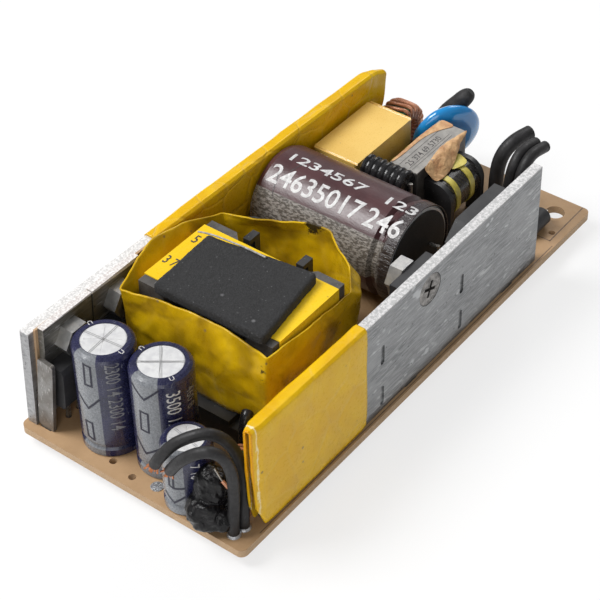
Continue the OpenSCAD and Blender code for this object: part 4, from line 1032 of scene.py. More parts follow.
@dataclass
class Lead:
    """A short insulated lead that follows a route, cut square at its far end.

    Attributes:
        node: The CAD node that it stands for.
        route: Points [x, y, h] in millimetres, h from the board's top.
        diameter: Diameter in millimetres.
        finish: Its finish.
        slot: The record's slot, where its name isn't the finish's.
        taper: Share of the radius that is left at the far end.
        strands: Number of bare strands at the cut end.
        cord: Whether it is a free cord. Not used.
        steps: Curve points for each stretch.
        straight: Share of the way over which it keeps its full radius.
        strand_mm: Diameter of a strand in millimetres.
    """

    node: str
    route: Sequence[Point]
    diameter: float
    finish: str = "lead_pvc"
    slot: str = ""
    taper: float = 1.0
    strands: int = 0
    cord: bool = False
    steps: int = 4
    straight: float = 0.6
    strand_mm: float = 0.34

    def build(self) -> None:
        """Makes the lead and its strands."""
        points = softened(self.route, self.steps)
        last = len(points) - 1
        radii = [1.0 - (1 - self.taper) * max(0.0, (k / last - self.straight)
                                              / (1 - self.straight)) ** 2
                 for k in range(last + 1)]
        lead = curve_through(self.node + "_insulation", points, self.diameter * MM,
                             radii, resolution=6)
        seat(lead, self.finish, self.slot or self.finish, self.node)
        strands = self.fray(points) if self.strands else []

    def fray(self, points: Sequence[Vector]) -> list[bpy.types.Object]:
        """Makes the bare strands that stick out of the cut end.

        Args:
            points: The lead's centreline.

        Returns:
            One piece that holds the strands.
        """
        end, way = points[-1], (points[-1] - points[-2]).normalized()
        side = way.cross(Vector((0.2, 0.4, 0.9))).normalized()
        other = way.cross(side)
        rng = random.Random(len(self.node))
        parts = []
        for k in range(self.strands):
            angle = k * 2.4
            radius = self.diameter * 0.36 * math.sqrt((k + 0.5) / self.strands) * MM
            out = math.cos(angle) * side + math.sin(angle) * other
            start = end - way * 0.3 * MM + out * radius
            reach = (0.7 + 1.0 * rng.random()) * MM
            middle = start + way * reach * 0.7 + out * 0.14 * MM
            tip = start + way * reach * 1.2 + out * 0.6 * MM * rng.random()
            parts.append(Bench.to_mesh(curve_through(f"strand_{k}",
                         [start, middle, tip], self.strand_mm * MM, resolution=2)))
        piece = Bench.finish(Bench.join(self.node + "_strands", parts))
        seat(piece, "bare_copper", "enamelled_copper")
        return [piece]


@dataclass
class Leads:
    """Every lead, each with the route of its CAD solid."""

    output: tuple[Lead, ...] = (
        Lead("output_lead_a", ((-48.6, -19.6, 0.5), (-48.6, -19.6, 2.4),
             (-48.2, -19.7, 8.3), (-48.6, -19.9, 13.3), (-49.5, -19.4, 17),
             (-50.9, -18.2, 18.9), (-52, -16.3, 18.4), (-52.6, -13.8, 16),
             (-52.3, -11.7, 12.9), (-51.9, -10.7, 11.3)), 1.9, strands=13, cord=True),
        Lead("output_lead_b", ((-46.5, -19.9, 0.5), (-46.5, -19.9, 2.4),
             (-45.1, -19.1, 7.6), (-45, -18.4, 12.5), (-46, -17.1, 16.3),
             (-47.7, -15.5, 18.4), (-49.4, -13.6, 18.3), (-51.2, -11.3, 16.7),
             (-52.4, -9.4, 13.9), (-52.5, -8.2, 11.6)), 1.9, strands=13, cord=True))
    rest: tuple[Lead, ...] = (
        Lead("input_lead_a", ((41.4, -8.2, 0), (41.4, -8.2, 5), (41.6, -8.4, 9.5),
             (42.6, -9, 12.4), (44.6, -9.9, 13.9), (47.8, -10.8, 14.1)), 2.7),
        Lead("input_lead_b", ((36.8, -15.4, 0), (36.8, -15.4, 5), (37, -15.4, 10),
             (38, -15.5, 13.8), (40.6, -15.6, 15.6), (44.8, -15.8, 15)), 2.1),
        Lead("input_lead_c", ((36.8, -13.5, 0), (36.8, -13.5, 5), (37, -13.5, 10),
             (38, -13.6, 13.8), (40.6, -13.7, 15.6), (44.8, -13.9, 15)), 2.1),
        Lead("flying_lead", ((-4, 17, 0), (-4, 17, 5), (-3, 16.8, 10.4),
             (-0.8, 15.6, 12.9), (1, 13.8, 12.2), (1, 12.2, 7), (1, 12, 0)), 1.2),
        Lead("secondary_lead", ((-36, -11.9, 0), (-36, -11.9, 4), (-35.9, -11.9, 7.4),
             (-35.2, -11.7, 9.4), (-34.4, -11.4, 9.8)), 2.0, "sleeving"),
        Lead("output_choke_lead", ((-42, -17.5, 4.8), (-42.9, -18.2, 4.5),
             (-43.9, -18.7, 3), (-44.6, -18.7, 1), (-44.6, -18.7, 0),
             (-44.6, -18.7, -1.5)), 0.8, "enamelled_copper"),
        Lead("sleeved_fuse", ((48.12, 9.9, 0), (48.2, 9.7, 4.5), (48.9, 8.2, 9.2),
             (50.4, 6.0, 12.2), (51.2, 4.8, 13.8), (51.6, 4.2, 14.6)), 3.4, "dull_sleeve",
             "sleeving", 0.45))

    def build(self) -> None:
        """Makes the cords first, then the other leads."""
        for lead in self.output + self.rest:
            lead.build()


# ---------------------------------------------------------------- tape and foam

@dataclass
class SoftSkin:
    """A film or foam piece that keeps its CAD form and gains creases and soft bends.

    Attributes:
        node: The CAD node that it stands for.
        finish: Its finish.
        slot: The record's slot.
        crease: How far the form's own edges stay sharp, from 0 to 1.
        levels: Subdivision levels.
        waves: Displacement textures, as size and depth in millimetres.
    """

    node: str
    finish: str
    slot: str
    crease: float = 0.6
    levels: int = 3
    waves: tuple[tuple[float, float], ...] = ((6.0, 0.35), (2.2, 0.12))

    def build(self) -> None:
        """Copies the node, rounds and crumples it."""
        piece = Bench.copy_node(self.node, self.node + "_skin")
        Bench.edit(piece)
        bpy.ops.transform.edge_crease(value=self.crease)
        Bench.close()
        Bench.divide(piece, self.levels)
        Bench.crumple(piece, *self.waves)
        Bench.finish(piece, 60)
        seat(piece, self.finish, self.slot, self.node)


@dataclass
class Collar:
    """The loose collar of tape round the transformer, as one bent sheet.

    Attributes:
        node: The CAD node that it stands for.
        wall: Thickness of the tape in millimetres.
        steep: How level a face's normal is on the collar's walls.
        crease: How far the folds stay sharp, from 0 to 1.
        levels: Subdivision levels.
        waves: Displacement textures, as size and depth in millimetres.
    """

    node: str = "transformer_wrap"
    wall: float = 0.3
    steep: float = 0.8
    crease: float = 0.72
    levels: int = 4
    waves: tuple[tuple[float, float], ...] = ((7.0, 1.1), (2.5, 0.35))

    def build(self) -> None:
        """Takes the collar's outer skin, creases it and gives it its thickness."""
        piece = Bench.copy_node(self.node, "collar")
        low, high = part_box(self.node)
        middle = (low + high) / 2
        Bench.edit(piece, "DESELECT")
        bpy.ops.mesh.select_mode(type="FACE")
        Bench.close()
        for face in piece.data.polygons:
            out = face.center - middle
            outside = face.normal.x * out.x + face.normal.y * out.y > 0
            face.select = not (abs(face.normal.z) < self.steep and outside)
        bpy.ops.object.mode_set(mode="EDIT")
        bpy.ops.mesh.delete(type="FACE")
        bpy.ops.mesh.select_mode(type="VERT")
        bpy.ops.mesh.select_all(action="SELECT")
        bpy.ops.transform.edge_crease(value=self.crease)
        Bench.close()
        Bench.divide(piece, self.levels)
        Bench.crumple(piece, *self.waves)
        Bench.thicken(piece, self.wall, -1)
        Bench.finish(piece, 75)
        seat(piece, "collar_tape", "yellow_tape", self.node)


@dataclass
class Pad:
    """The foam pad on the core, cut by hand."""

    node: str = "core_pad"
    voxel: float = 0.22
    waves: tuple[tuple[float, float], ...] = ((0.9, 0.12), (5.0, 0.3))

    def build(self) -> None:
        """Remeshes the pad and roughens its skin."""
        piece = Bench.copy_node(self.node, "foam_pad")
        Bench.remesh(piece, self.voxel)
        Bench.crumple(piece, *self.waves)
        Bench.finish(piece, 80)
        seat(piece, "foam", "foam", self.node)


# -------------------------------------------------------------------- windings

@dataclass
class RingWinding:
    """Round enamelled wire wound tightly on a ring core.

    Attributes:
        node: The CAD node that it stands for.
        middle: The ring's middle in millimetres, height from the board's top.
        turn: The ring's turn about Z in degrees, its axis along Y at 0.
        outer: Outer diameter, wire included, in millimetres.
        width: Width along the ring's axis, wire included.
        wire: Wire diameter.
        ring: Radial width of the bare ring.
        count: Number of turns.
        slant: How far each turn leans round the ring, in degrees.
        square: Power that squares a turn's corners, 1 for a round one.
        steps: Points of one turn.
    """

    node: str
    middle: tuple[float, float, float]
    turn: float
    outer: float
    width: float
    wire: float
    ring: float
    count: int
    slant: float = 7.0
    square: float = 0.55
    steps: int = 28

    def build(self) -> None:
        """Makes one turn, copies it round the ring and joins the copies."""
        core = self.outer / 2 - self.wire - self.ring / 2
        half_r = (self.ring + self.wire) / 2
        half_w = (self.width - self.wire) / 2
        parts = []
        for k in range(self.count):
            base = 2 * math.pi * k / self.count
            points = []
            for j in range(self.steps):
                t = 2 * math.pi * j / self.steps
                out, side = (math.copysign(abs(f) ** self.square, f)
                             for f in (math.cos(t), math.sin(t)))
                radius = core + half_r * out
                angle = base + math.radians(self.slant) * side
                points.append(Vector((radius * math.cos(angle), half_w * side,
                                      radius * math.sin(angle))) * MM)
            parts.append(Bench.to_mesh(curve_through(f"turn_{k}", points,
                         self.wire * MM, closed=True, resolution=3)))
        piece = Bench.join(self.node + "_wire", parts)
        piece.matrix_world = (Matrix.Translation(above(*self.middle))
                              @ Matrix.Rotation(math.radians(self.turn), 4, "Z"))
        Bench.finish(Bench.settle(piece), 70)
        seat(piece, "enamelled_copper", "enamelled_copper", self.node)


# ----------------------------------------------------------------------- print

class Ink:
    """Flat shapes in millimetres that are laid on a surface as print."""

    BODY = 1.42     # size of the lettering against the height of its digits
    PITCH = 0.5     # width of the strips that a flat shape is cut into

    def __init__(self, name: str, lay: Callable[[float, float], Vector]) -> None:
        """Keeps the piece's name and the surface.

        Args:
            name: The piece's name.
            lay: Gives the point in metres for a place (u, v) in millimetres.
        """
        self.name = name
        self.lay = lay
        self.parts: list[bpy.types.Object] = []

    def digits(self, text: str, u: float, v: float, size: float, bold: float,
               stretch: float) -> None:
        """Adds plain numbers.

        Args:
            text: The numbers.
            u: Left end of the line.
            v: Foot of the line.
            size: Height of the digits.
            bold: Extra weight of the strokes.
            stretch: Width of the digits against their usual width.
        """
        Bench.clear()
        bpy.ops.object.text_add(location=(0, 0, 0))
        obj = bpy.context.object
        obj.data.body = text
        obj.data.size = size * self.BODY
        obj.data.offset = bold
        obj.data.resolution_u = 3
        obj = Bench.to_mesh(obj)
        for vertex in obj.data.vertices:
            vertex.co.x = vertex.co.x * stretch + u
            vertex.co.y += v
        self.parts.append(self.divided(obj))

    def line(self, points: Sequence[tuple[float, float]], width: float,
             closed: bool = False) -> None:
        """Adds a line of even width.

        Args:
            points: The line's points.
            width: Its width.
            closed: Whether it returns to its start.
        """
        way = [Vector((x, y, 0)) for x, y in points]
        if closed:
            way = way + [way[0]]
        for a, b in zip(way, way[1:]):
            side = (b - a).normalized().cross(Vector((0, 0, 1))) * width / 2
            along = (b - a).normalized() * width / 2
            self.patch([a - along + side, b + along + side, b + along - side,
                        a - along - side])

    def patch(self, corners: Iterable[Vector]) -> None:
        """Adds one flat patch that faces up.

        Args:
            corners: Its corners in order, with the clock or against it.
        """
        corners = [Vector((c[0], c[1], 0)) for c in corners]
        following = corners[1:] + corners[:1]
        if sum(a.x * b.y - b.x * a.y for a, b in zip(corners, following)) < 0:
            corners.reverse()
        mesh = bpy.data.meshes.new("patch")
        mesh.from_pydata(corners, [], [list(range(len(corners)))])
        self.parts.append(self.divided(placed("patch", mesh)))

    @classmethod
    def divided(cls, obj: bpy.types.Object) -> bpy.types.Object:
        """Cuts a flat shape into small faces, so that it can follow a curve.

        Args:
            obj: The shape.

        Returns:
            The same shape.
        """
        Bench.edit(obj)
        for axis in (0, 1):
            along = [v.co[axis] for v in obj.data.vertices]
            for k in range(1, int((max(along) - min(along)) / cls.PITCH) + 1):
                at, normal = [0.0, 0.0, 0.0], [0.0, 0.0, 0.0]
                at[axis], normal[axis] = min(along) + k * cls.PITCH, 1.0
                bpy.ops.mesh.select_all(action="SELECT")
                bpy.ops.mesh.bisect(plane_co=at, plane_no=normal)
        Bench.close()
        return obj

    def build(self, finish: str) -> None:
        """Joins the shapes and lays them on the surface.

        Args:
            finish: The ink's finish.
        """
        piece = Bench.join(self.name, self.parts)
        for vertex in piece.data.vertices:
            vertex.co = self.lay(vertex.co.x, vertex.co.y)
        piece.data.update()
        seat(piece, finish, "")


@dataclass(frozen=True)
class Wall:
    """A place for print on the part.

    Attributes:
        place: Gives the point in metres for (u, v) in millimetres.
    """

    place: Callable[[float, float], Vector]

    @classmethod
    def can(cls, can: Can, start: float) -> "Wall":
        """Gives the wall of an upright can.

        Args:
            can: The can.
            start: Angle in degrees at which v is 0.

        Returns:
            The wall, u running down from the top and v round the can.
        """
        def lay(u: float, v: float) -> Vector:
            """Returns the point at u and v."""
            turn = math.radians(start) + v / can.radius
            r = can.radius + INK_LIFT
            return above(can.x + r * math.cos(turn), can.y + r * math.sin(turn),
                         can.top - u)
        return cls(lay)

    @classmethod
    def barrel(cls, x: float, h: float, radius: float, start_y: float,
               foot: float) -> "Wall":
        """Gives the wall of a can that lies along Y.

        Args:
            x: Middle of the can.
            h: Height of its middle above the board.
            radius: Radius of the can.
            start_y: Where u is 0; u runs towards -Y.
            foot: Angle in degrees at which v is 0; v runs up and over.

        Returns:
            The wall.
        """
        def lay(u: float, v: float) -> Vector:
            """Returns the point at u and v."""
            turn = math.radians(foot) - v / radius
            r = radius + INK_LIFT
            return above(x + r * math.cos(turn), start_y - u, h + r * math.sin(turn))
        return cls(lay)

    @classmethod
    def level(cls, h: float) -> "Wall":
        """Gives a level surface, u and v being x and y."""
        return cls(lambda u, v: above(u, v, h))


@dataclass
class Sheet:
    """A thin bent sheet through rows of points.

    Attributes:
        name: The piece's name.
        rows: Rows of points [x, y, h] in millimetres, all of one length.
        waves: Displacement textures, as size and depth in millimetres.
        wall: Thickness in millimetres.
        levels: Subdivision levels.
    """

    name: str
    rows: Sequence[Sequence[Point]]
    waves: tuple[tuple[float, float], ...]
    wall: float = 0.1
    levels: int = 4

    def build(self) -> bpy.types.Object:
        """Makes the sheet with its outside up.

        Returns:
            The sheet.
        """
        down, across = len(self.rows), len(self.rows[0])
        Bench.clear()
        bpy.ops.mesh.primitive_grid_add(x_subdivisions=across - 1,
                                        y_subdivisions=down - 1, size=1)
        piece = Bench.name(self.name)
        flat = [above(*q) for row in self.rows for q in row]
        for vertex, at in zip(piece.data.vertices, flat):
            vertex.co = at
        Bench.divide(piece, self.levels)
        Bench.crumple(piece, *self.waves)
        Bench.thicken(piece, self.wall, 0)
        return Bench.finish(piece, 70)


@dataclass
class ChokeTape:
    """Masking tape over the choke's label, torn, with a flap down its near side."""

    def build(self) -> None:
        """Makes the far strip, the flap and the pale tab."""
        far = Sheet("label_far_tape", (
            ((26.9, 5.05, 12.6), (31.0, 5.15, 12.4), (35.0, 5.15, 12.5),
             (39.0, 5.2, 12.6), (42.1, 4.9, 12.8)),
            ((26.9, 4.9, 13.7), (31.0, 5.0, 13.75), (35.0, 5.05, 13.75),
             (39.0, 5.05, 13.8), (42.2, 4.6, 13.8)),
            ((26.9, 4.6, 13.7), (30.5, 4.3, 13.7), (34.8, 4.4, 13.7),
             (38.0, 4.0, 13.7), (42.2, 2.9, 13.75)),
            ((26.8, 4.4, 13.66), (30.5, 4.1, 13.66), (34.8, 4.3, 13.66),
             (38.9, 3.6, 13.66), (42.1, 1.0, 13.68))), ((2.2, 0.16),)).build()
        seat(far, "masking_tape", "masking_tape", "cm_choke_tape")
        flap = Sheet("label_flap", (
            ((30.2, -0.9, 13.68), (33.6, -0.1, 13.7), (36.6, 0.1, 13.72),
             (39.8, -0.5, 13.72), (42.1, -0.9, 13.7)),
            ((28.4, -1.1, 13.6), (32.0, -1.15, 13.7), (35.5, -1.2, 13.75),
             (39.0, -1.2, 13.7), (42.2, -1.15, 13.55)),
            ((29.0, -1.7, 12.2), (31.5, -2.2, 12.3), (33.5, -2.4, 12.4),
             (36.4, -2.0, 12.6), (39.4, -1.5, 12.9)),
            ((29.2, -3.0, 11.05), (30.3, -3.5, 11.0), (31.8, -3.5, 11.0),
             (33.4, -3.4, 11.05), (35.0, -3.1, 11.2))), ((2.0, 0.5), (0.8, 0.22))).build()
        seat(flap, "masking_tape", "masking_tape")
        tab = Sheet("band_tab", (
            ((36.6, -1.5, 11.2), (37.6, -1.7, 11.3), (38.3, -2.0, 11.4)),
            ((35.2, -2.4, 11.1), (36.4, -2.9, 11.2), (37.9, -3.3, 11.3)),
            ((33.7, -3.4, 10.95), (35.4, -4.1, 11.0), (37.4, -4.8, 11.1))),
            ((2.4, 0.1),)).build()
        seat(tab, "pale_tape", "pale_tape")


@dataclass
class Strays:
    """Short bare and enamelled wires between the output leads.

    Attributes:
        wires: Name, route, diameter, and finish of each, also the record's slot.
    """

    wires: tuple[tuple[str, Sequence[Point], float, str], ...] = (
        ("copper_tail", ((-42.9, -20.05, 8.3), (-43.9, -20.4, 5.3), (-44.5, -19.5, 1.4),
                         (-44.8, -19.1, -0.2)), 0.7, "enamelled_copper"),
        ("white_tail", ((-47.9, -15.9, 11.6), (-48.0, -16.9, 10.5),
                        (-48.0, -17.4, 9.9)), 0.35, "tin"),
        ("bright_tail", ((-48.0, -17.4, 9.9), (-47.9, -18.3, 9.1),
                         (-47.6, -18.8, 8.4)), 0.6, "enamelled_copper"))

    def build(self) -> None:
        """Makes the wires."""
        for name, route, thick, finish in self.wires:
            wire = Bench.to_mesh(curve_through(name, softened(route, 4), thick * MM))
            seat(Bench.finish(wire), finish, finish)


@dataclass
class PadEdge:
    """The pale edge of a tape that stands along the pad's far side."""

    route: Sequence[Point] = ((-16.3, 12.7, 22.3), (-16.2, 10.6, 22.8),
                              (-16.0, 8.0, 23.05), (-15.7, 3.5, 23.1),
                              (-15.6, -0.7, 23.05))
    thick: float = 0.32

    def build(self) -> None:
        """Makes the edge as a thin rod."""
        rod = Bench.to_mesh(curve_through("pad_edge", softened(self.route, 5),
                                          self.thick * MM))
        seat(Bench.finish(rod), "grey_edge", "")


@dataclass
class Disc:
    """The varistor, a coated disc that leans back against its neighbour.

    Attributes:
        place: Its middle in millimetres.
        diameter: Its diameter.
        thickness: Its thickness before the middle is pressed flat.
        turn: Its turn about Z in degrees.
        lean: How far it leans back, in degrees.
        flat: Share of the radius within which it is pressed.
        press: How far it is pressed, as a share at a full radius.
    """

    place: tuple[float, float, float] = (45.8, 5.7, 8.05)
    diameter: float = 13.2
    thickness: float = 4.4
    turn: float = -32.0
    lean: float = 9.0
    flat: float = 0.6
    press: float = 0.12

    def build(self) -> None:
        """Makes a flattened ball, then leans and turns it."""
        Bench.clear()
        bpy.ops.mesh.primitive_uv_sphere_add(segments=64, ring_count=40, radius=0.5)
        disc = Bench.name("varistor_disc")
        disc.scale = (self.diameter * MM, self.thickness * MM, self.diameter * MM)
        Bench.settle(disc)
        for vertex in disc.data.vertices:
            spread = math.hypot(vertex.co.x, vertex.co.z) / (self.diameter / 2 * MM)
            if spread < self.flat:
                vertex.co.y *= 1.0 - self.press * spread
        disc.rotation_euler = (math.radians(self.lean), 0, math.radians(self.turn))
        disc.location = above(*self.place)
        Bench.settle(disc)
        Bench.crumple(disc, (5.0, 0.3))
        Bench.finish(disc, 80)
        seat(disc, "blue_coat", "blue_coat", "varistor")


@dataclass
class TapedLump:
    """The crumpled lump of black tape at the output end.

    Attributes:
        lumps: Middle and sizes in x, y and height of each ball, in millimetres.
        voxel: Size of the skin's voxels.
        waves: Displacement textures, as size and depth in millimetres.
    """

    lumps: tuple[tuple[float, float, float, float, float, float], ...] = (
        (-49.6, -15.0, 3.2, 5.6, 6.8, 6.8), (-47.6, -14.8, 6.4, 5.8, 6.0, 8.4),
        (-46.2, -17.6, 2.6, 5.6, 3.6, 5.2), (-48.6, -17.6, 2.4, 4.6, 4.2, 4.6))
    voxel: float = 0.16
    waves: tuple[tuple[float, float], ...] = ((2.9, 1.5), (1.1, 0.3))

    def build(self) -> None:
        """Joins stretched balls into one crumpled skin."""
        parts = []
        for k, (x, y, h, wide, deep, tall) in enumerate(self.lumps):
            Bench.clear()
            bpy.ops.mesh.primitive_ico_sphere_add(subdivisions=4, radius=0.5)
            ball = Bench.name(f"lump_{k}")
            ball.scale = (wide * MM, deep * MM, tall * MM)
            ball.location = above(x, y, h)
            parts.append(Bench.settle(ball))
        piece = Bench.join("taped_lump", parts)
        Bench.remesh(piece, self.voxel)
        Bench.crumple(piece, *self.waves)
        Bench.finish(piece, 80)
        seat(piece, "black_tape", "sleeving", "taped_inductor")


class Prints:
    """Plain numbers, score lines and marks on the parts."""

    def reservoir(self) -> None:
        """Prints the big can: one bold row and one wide row, each begun again."""
        wall = Wall.barrel(12.8, 9.15, 9.15, 17.6, 128.5)
        ink = Ink("reservoir_print", wall.place)
        ink.digits("24635017", 0.2, -0.1, 3.6, 0.06, 0.95)
        ink.digits("246", 20.6, -0.2, 3.6, 0.06, 0.95)
        ink.digits("1234567", 0.8, 5.2, 1.95, 0.045, 1.72)
        ink.digits("123", 21.2, 5.0, 1.95, 0.045, 1.72)
        ink.build("white_ink")
        crack = Ink("reservoir_crack", wall.place)
        crack.line(((4.4, 5.2), (4.0, 4.0), (3.6, 3.1)), 0.16)
        crack.line(((2.0, 1.5), (2.3, 0.4), (2.6, -1.6), (3.1, -2.4)), 0.18)
        crack.build("dark_ink")

    def arrows(self) -> None:
        """Draws outlined marks on the stripes, as drops in mm and angles in turn."""
        shapes = (
            (0, ((0.6, 184, 0.9, 197, 5.0, 196, 5.0, 182), (13.3, 172, 13.2, 187,
                 16.9, 188, 16.6, 174)), ((7.9, 160, 10.1, 183, 7.7, 206),)),
            (1, ((6.1, 176, 6.1, 192, 10.1, 191, 10.1, 174),),
             ((1.2, 160, 3.2, 187, 0.8, 214), (12.6, 159, 15.1, 180, 12.9, 213))),
            (2, ((4.3, 175, 4.2, 187, 7.4, 186, 7.2, 174.5),),
             ((9.3, 160, 10.6, 185, 8.8, 211), (7.4, 186, 7.2, 198, 6.9, 211))))
        for which, boxes, vees in shapes:
            can = CANS[which]
            ink = Ink(f"stripe_marks_{which}", Wall.can(can, 0).place)
            drop = 0.6 if which < 2 else 0.0
            for outline, closed in ((boxes, True), (vees, False)):
                for flat in outline:
                    ink.line([(flat[k] + drop, math.radians(flat[k + 1]) * can.radius)
                              for k in range(0, len(flat), 2)], 0.34, closed)
            ink.build("navy_ink")

    def columns(self) -> None:
        """Prints numbers down the cans and short marks round their rims."""
        rows = ((0, "2300 14 2300 14", 222.5, 0.8, 2.35, 0.62, "grey_ink"),
                (1, "3500 12", 227.5, 1.9, 2.3, 0.72, "white_ink"),
                (1, "460 8", 266.0, 2.6, 1.7, 0.8, "grey_ink"),
                (2, "7 10", 227.0, 2.0, 1.5, 0.8, "white_ink"))
        for k, (which, text, start, u, size, stretch, finish) in enumerate(rows):
            ink = Ink(f"can_number_{k}", Wall.can(CANS[which], start).place)
            ink.digits(text, u, 0.0, size, 0.012, stretch)
            ink.build(finish)

    def scores(self) -> None:
        """Scores the vents across the cans' tops and marks their rims."""
        for which, turns in enumerate(((4.0, -84.5), (40.6, -53.8), (80.0, 172.0))):
            can = CANS[which]
            middle = Vector((can.x, can.y))
            ink = Ink(f"vent_{which}", Wall.level(can.top - 0.06).place)
            for angle in turns:
                way = heading(angle)
                reach = way * (can.radius - 1.55)
                side = Vector((-way.y, way.x)) * 0.14
                for shift in (side, -side):
                    ink.line((middle - reach + shift, middle + reach + shift), 0.1)
            ink.build("score_ink")
        rims = Ink("rim_marks", Wall.level(20.86).place)
        for which, angle in ((0, 70.0), (0, 262.0), (1, 84.0), (1, 243.0)):
            can = CANS[which]
            way = heading(angle)
            side = Vector((-way.y, way.x)) * 0.3
            near, far = (Vector((can.x, can.y)) + way * (can.radius - inset)
                         for inset in (1.15, 0.45))
            rims.line((near + side, far + side, far - side, near - side), 0.14)
        rims.build("white_ink")

    def label(self) -> None:
        """Prints the choke's label with one line of numbers and two ruled lines."""
        ink = Ink("label_print", Wall.level(13.63).place)
        ink.digits("25 374 69 5730", 27.6, 1.25, 1.25, 0.01, 0.9)
        for v in (0.95, 0.35, 3.1):
            ink.line(((27.0, v), (39.4, v)), 0.09)
        ink.build("dark_ink")

    def strip(self) -> None:
        """Prints a few numbers on the far end of the core's tape."""
        ink = Ink("strip_print", lambda u, v: above(v - 24.2, 14.0 - u, 20.86))
        ink.digits("3 7", 0.0, 0.0, 2.0, 0.01, 0.7)
        ink.digits("5", 0.5, 6.6, 2.0, 0.01, 0.8)
        ink.build("dark_ink")

    def board(self) -> None:
        """Prints the corner line by the mains end and one long straight line."""
        ink = Ink("board_print", Wall.level(0.02).place)
        ink.line(((50.5, -21.4), (39.05, -21.5), (39.0, -18.9)), 0.22)
        ink.line(((-46.0, -22.6), (38.0, -22.6)), 0.16)
        ink.build("sepia_ink")

    def build(self) -> None:
        """Prints everything."""
        for part in (self.reservoir, self.arrows, self.columns, self.scores, self.label,
                     self.strip, self.board):
            part()


# -------------------------------------------------------------------- the stage

@dataclass
class Studio:
    """Camera, lamps and floor.

    Attributes:
        place: The camera's place in millimetres.
        azimuth: Its azimuth in degrees.
        elevation: Its elevation in degrees.
        roll: Its roll in degrees.
        lens: Its lens in millimetres.
        lamps: Name, place, size and watts of each lamp, in metres.
        surround: Strength of the even light.
    """

    place: tuple[float, float, float] = (-189.94, -144.77, 217.26)
    azimuth: float = -51.764
    elevation: float = 41.453
    roll: float = 1.369
    lens: float = 111.9
    lamps: tuple[tuple[str, Point, float, float], ...] = (
        ("key", (-0.25, 0.35, 0.6), 0.35, 5.4), ("fill", (-0.6, -0.35, 0.35), 0.5, 1.5),
        ("rim", (0.5, 0.1, 0.45), 0.3, 1.2))
    surround: float = 0.27

    def camera(self) -> None:
        """Makes the camera."""
        a, e, r = (math.radians(v) for v in (self.azimuth, self.elevation, self.roll))
        back = Vector((math.sin(a) * math.cos(e), -math.cos(a) * math.cos(e),
                       math.sin(e)))
        right = Vector((0, 0, 1)).cross(back).normalized()
        up = back.cross(right)
        turned = math.cos(r) * right - math.sin(r) * up
        upright = math.sin(r) * right + math.cos(r) * up
        data = bpy.data.cameras.new("camera")
        data.lens = self.lens
        data.sensor_width = 36
        data.clip_start, data.clip_end = 0.01, 10
        camera = placed("camera", data)
        camera.matrix_world = (Matrix.Translation(Vector(self.place) * MM)
                               @ Matrix((turned, upright, back)).transposed().to_4x4())
        bpy.context.scene.camera = camera

    @staticmethod
    def lamp(name: str, place: Point, size: float, watts: float) -> None:
        """Adds a soft square lamp that faces the part.

        Args:
            name: Its name.
            place: Where it stands, in metres.
            size: Its side in metres.
            watts: Its power.
        """
        data = bpy.data.lights.new(name, "AREA")
        data.size = size
        data.energy = watts
        lamp = placed(name, data)
        lamp.location = place
        way = Vector((0, 0, 0.01)) - Vector(place)
        lamp.rotation_euler = way.to_track_quat("-Z", "Y").to_euler()

    def floor(self) -> None:
        """Makes the pale floor, bright to the camera and plain to the light."""
        Bench.clear()
        bpy.ops.mesh.primitive_plane_add(size=6)
        floor = Bench.name("floor")
        s = Shader("floor")
        path = s.add("ShaderNodeLightPath").outputs
        s.set(base_color=(0.86, 0.86, 0.86, 1), roughness=0.9)
        glow = s.add("ShaderNodeEmission", {"Color": (1, 1, 1, 1), "Strength": 1.0})
        seen = s.maths("MAXIMUM", path["Is Camera Ray"], path["Is Glossy Ray"])
        both = s.add("ShaderNodeMixShader", {0: s.times(seen, 0.72),
                     1: s.surface.outputs[0], 2: glow.outputs[0]})
        s.feed(s.tree.nodes["Material Output"].inputs["Surface"], both.outputs[0])
        floor.data.materials.append(s.material)

    def world(self) -> None:
        """Makes the even surrounding light."""
        world = bpy.data.worlds.new("world")
        world.use_nodes = True
        n = Nodes(world.node_tree)
        path = n.add("ShaderNodeLightPath").outputs
        seen = n.maths("MAXIMUM", path["Is Camera Ray"], path["Is Transmission Ray"])
        back = world.node_tree.nodes["Background"]
        n.feed(back.inputs["Color"], (1, 1, 1, 1))
        n.feed(back.inputs["Strength"], n.ramp(seen, 0.0, 1.0, self.surround, 1.0))
        bpy.context.scene.world = world

    def build(self) -> None:
        """Sets the floor and the light."""
        self.floor()
        self.world()
        for lamp in self.lamps:
            self.lamp(*lamp)
        bpy.context.scene.view_settings.view_transform = "Standard"


# ------------------------------------------------------------------------ nodes

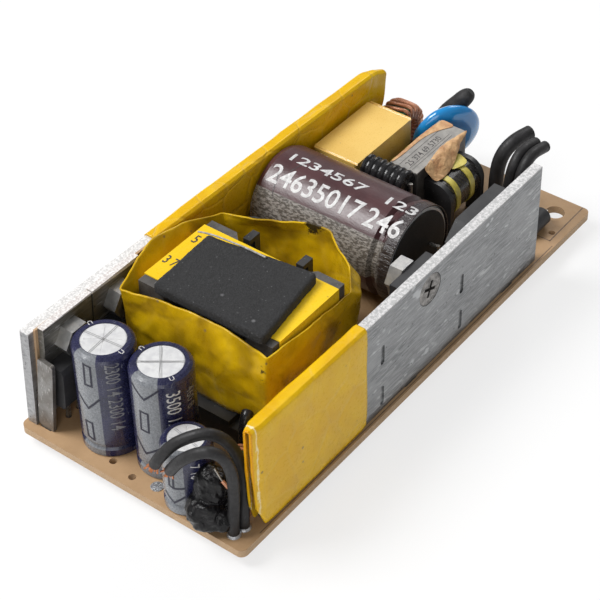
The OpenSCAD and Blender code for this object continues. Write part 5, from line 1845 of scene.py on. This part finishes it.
class Casting:
    """The CAD nodes' finishes; any node that isn't named is a lead."""

    FINISHES = {
        "laminate": "board", "solder": "solder_lands solder_joints", "opto": "optocoupler",
        "chip": "controller_ic chip_parts", "blue_coat": "safety_capacitor varistor",
        "plate": "primary_heatsink", "leaned_plate": "secondary_heatsink",
        "yellow_tape": "primary_tape secondary_tape transformer_winding transformer_wrap",
        "dark_steel": "heatsink_screws", "zinc": "heatsink_nuts",
        "insulator": "secondary_insulator", "tab_plate": "rectifier_tabs",
        "mould": "mosfet_body bridge_body rectifier_bodies end_diode",
        "tin": "package_leads capacitor_leads winding_pins",
        "tinned_copper": "tinned_strip", "can": "capacitor_cans main_cap_can",
        "navy_sleeve": "capacitor_sleeves", "bung": "capacitor_bungs main_cap_bung",
        "brown_sleeve": "main_cap_sleeve", "strip_tape": "core_tape", "foam": "core_pad",
        "ferrite": "transformer_core_top transformer_core_bottom cm_choke_core",
        "bobbin": "transformer_bobbin cm_choke_bobbin", "film_case": "film_capacitor",
        "green_core": "line_choke_core output_choke_core",
        "enamelled_copper": "line_choke_winding output_choke_winding output_choke_lead",
        "sleeving": "sleeved_fuse sleeved_inductor taped_inductor",
        "black_winding": "cm_choke_winding", "pale_tape": "cm_choke_bands",
        "label_film": "cm_choke_label", "masking_tape": "cm_choke_tape"}

    def build(self) -> None:
        """Dresses every node."""
        finish_of = {node: finish for finish, nodes in self.FINISHES.items()
                     for node in nodes.split()}
        for name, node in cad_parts.items():
            dress(node, finish_of.get(name, "lead_pvc"))
        log.info("%d nodes dressed", len(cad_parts))


def main() -> None:
    """Builds the scene in order."""
    studio = Studio()
    studio.camera()
    Leads().build()
    Casting().build()
    Collar().build()
    SoftSkin("primary_tape", "torn_tape_painted_end", "yellow_tape").build()
    SoftSkin("secondary_tape", "yellow_tape", "yellow_tape").build()
    Pad().build()
    RingWinding("line_choke_winding", (45.6, 16.2, 5.3), 0, outer=10.2, width=5.8,
                wire=0.75, ring=1.8, count=21).build()
    RingWinding("output_choke_winding", (-40.2, -14.9, 4.0), 20, outer=8.0, width=4.6,
                wire=0.6, ring=1.6, count=10).build()
    ChokeTape().build()
    PadEdge().build()
    Strays().build()
    Disc().build()
    TapedLump().build()
    Prints().build()
    studio.build()


if __name__ == "__main__":
    logging.basicConfig(level=logging.INFO)
    main()
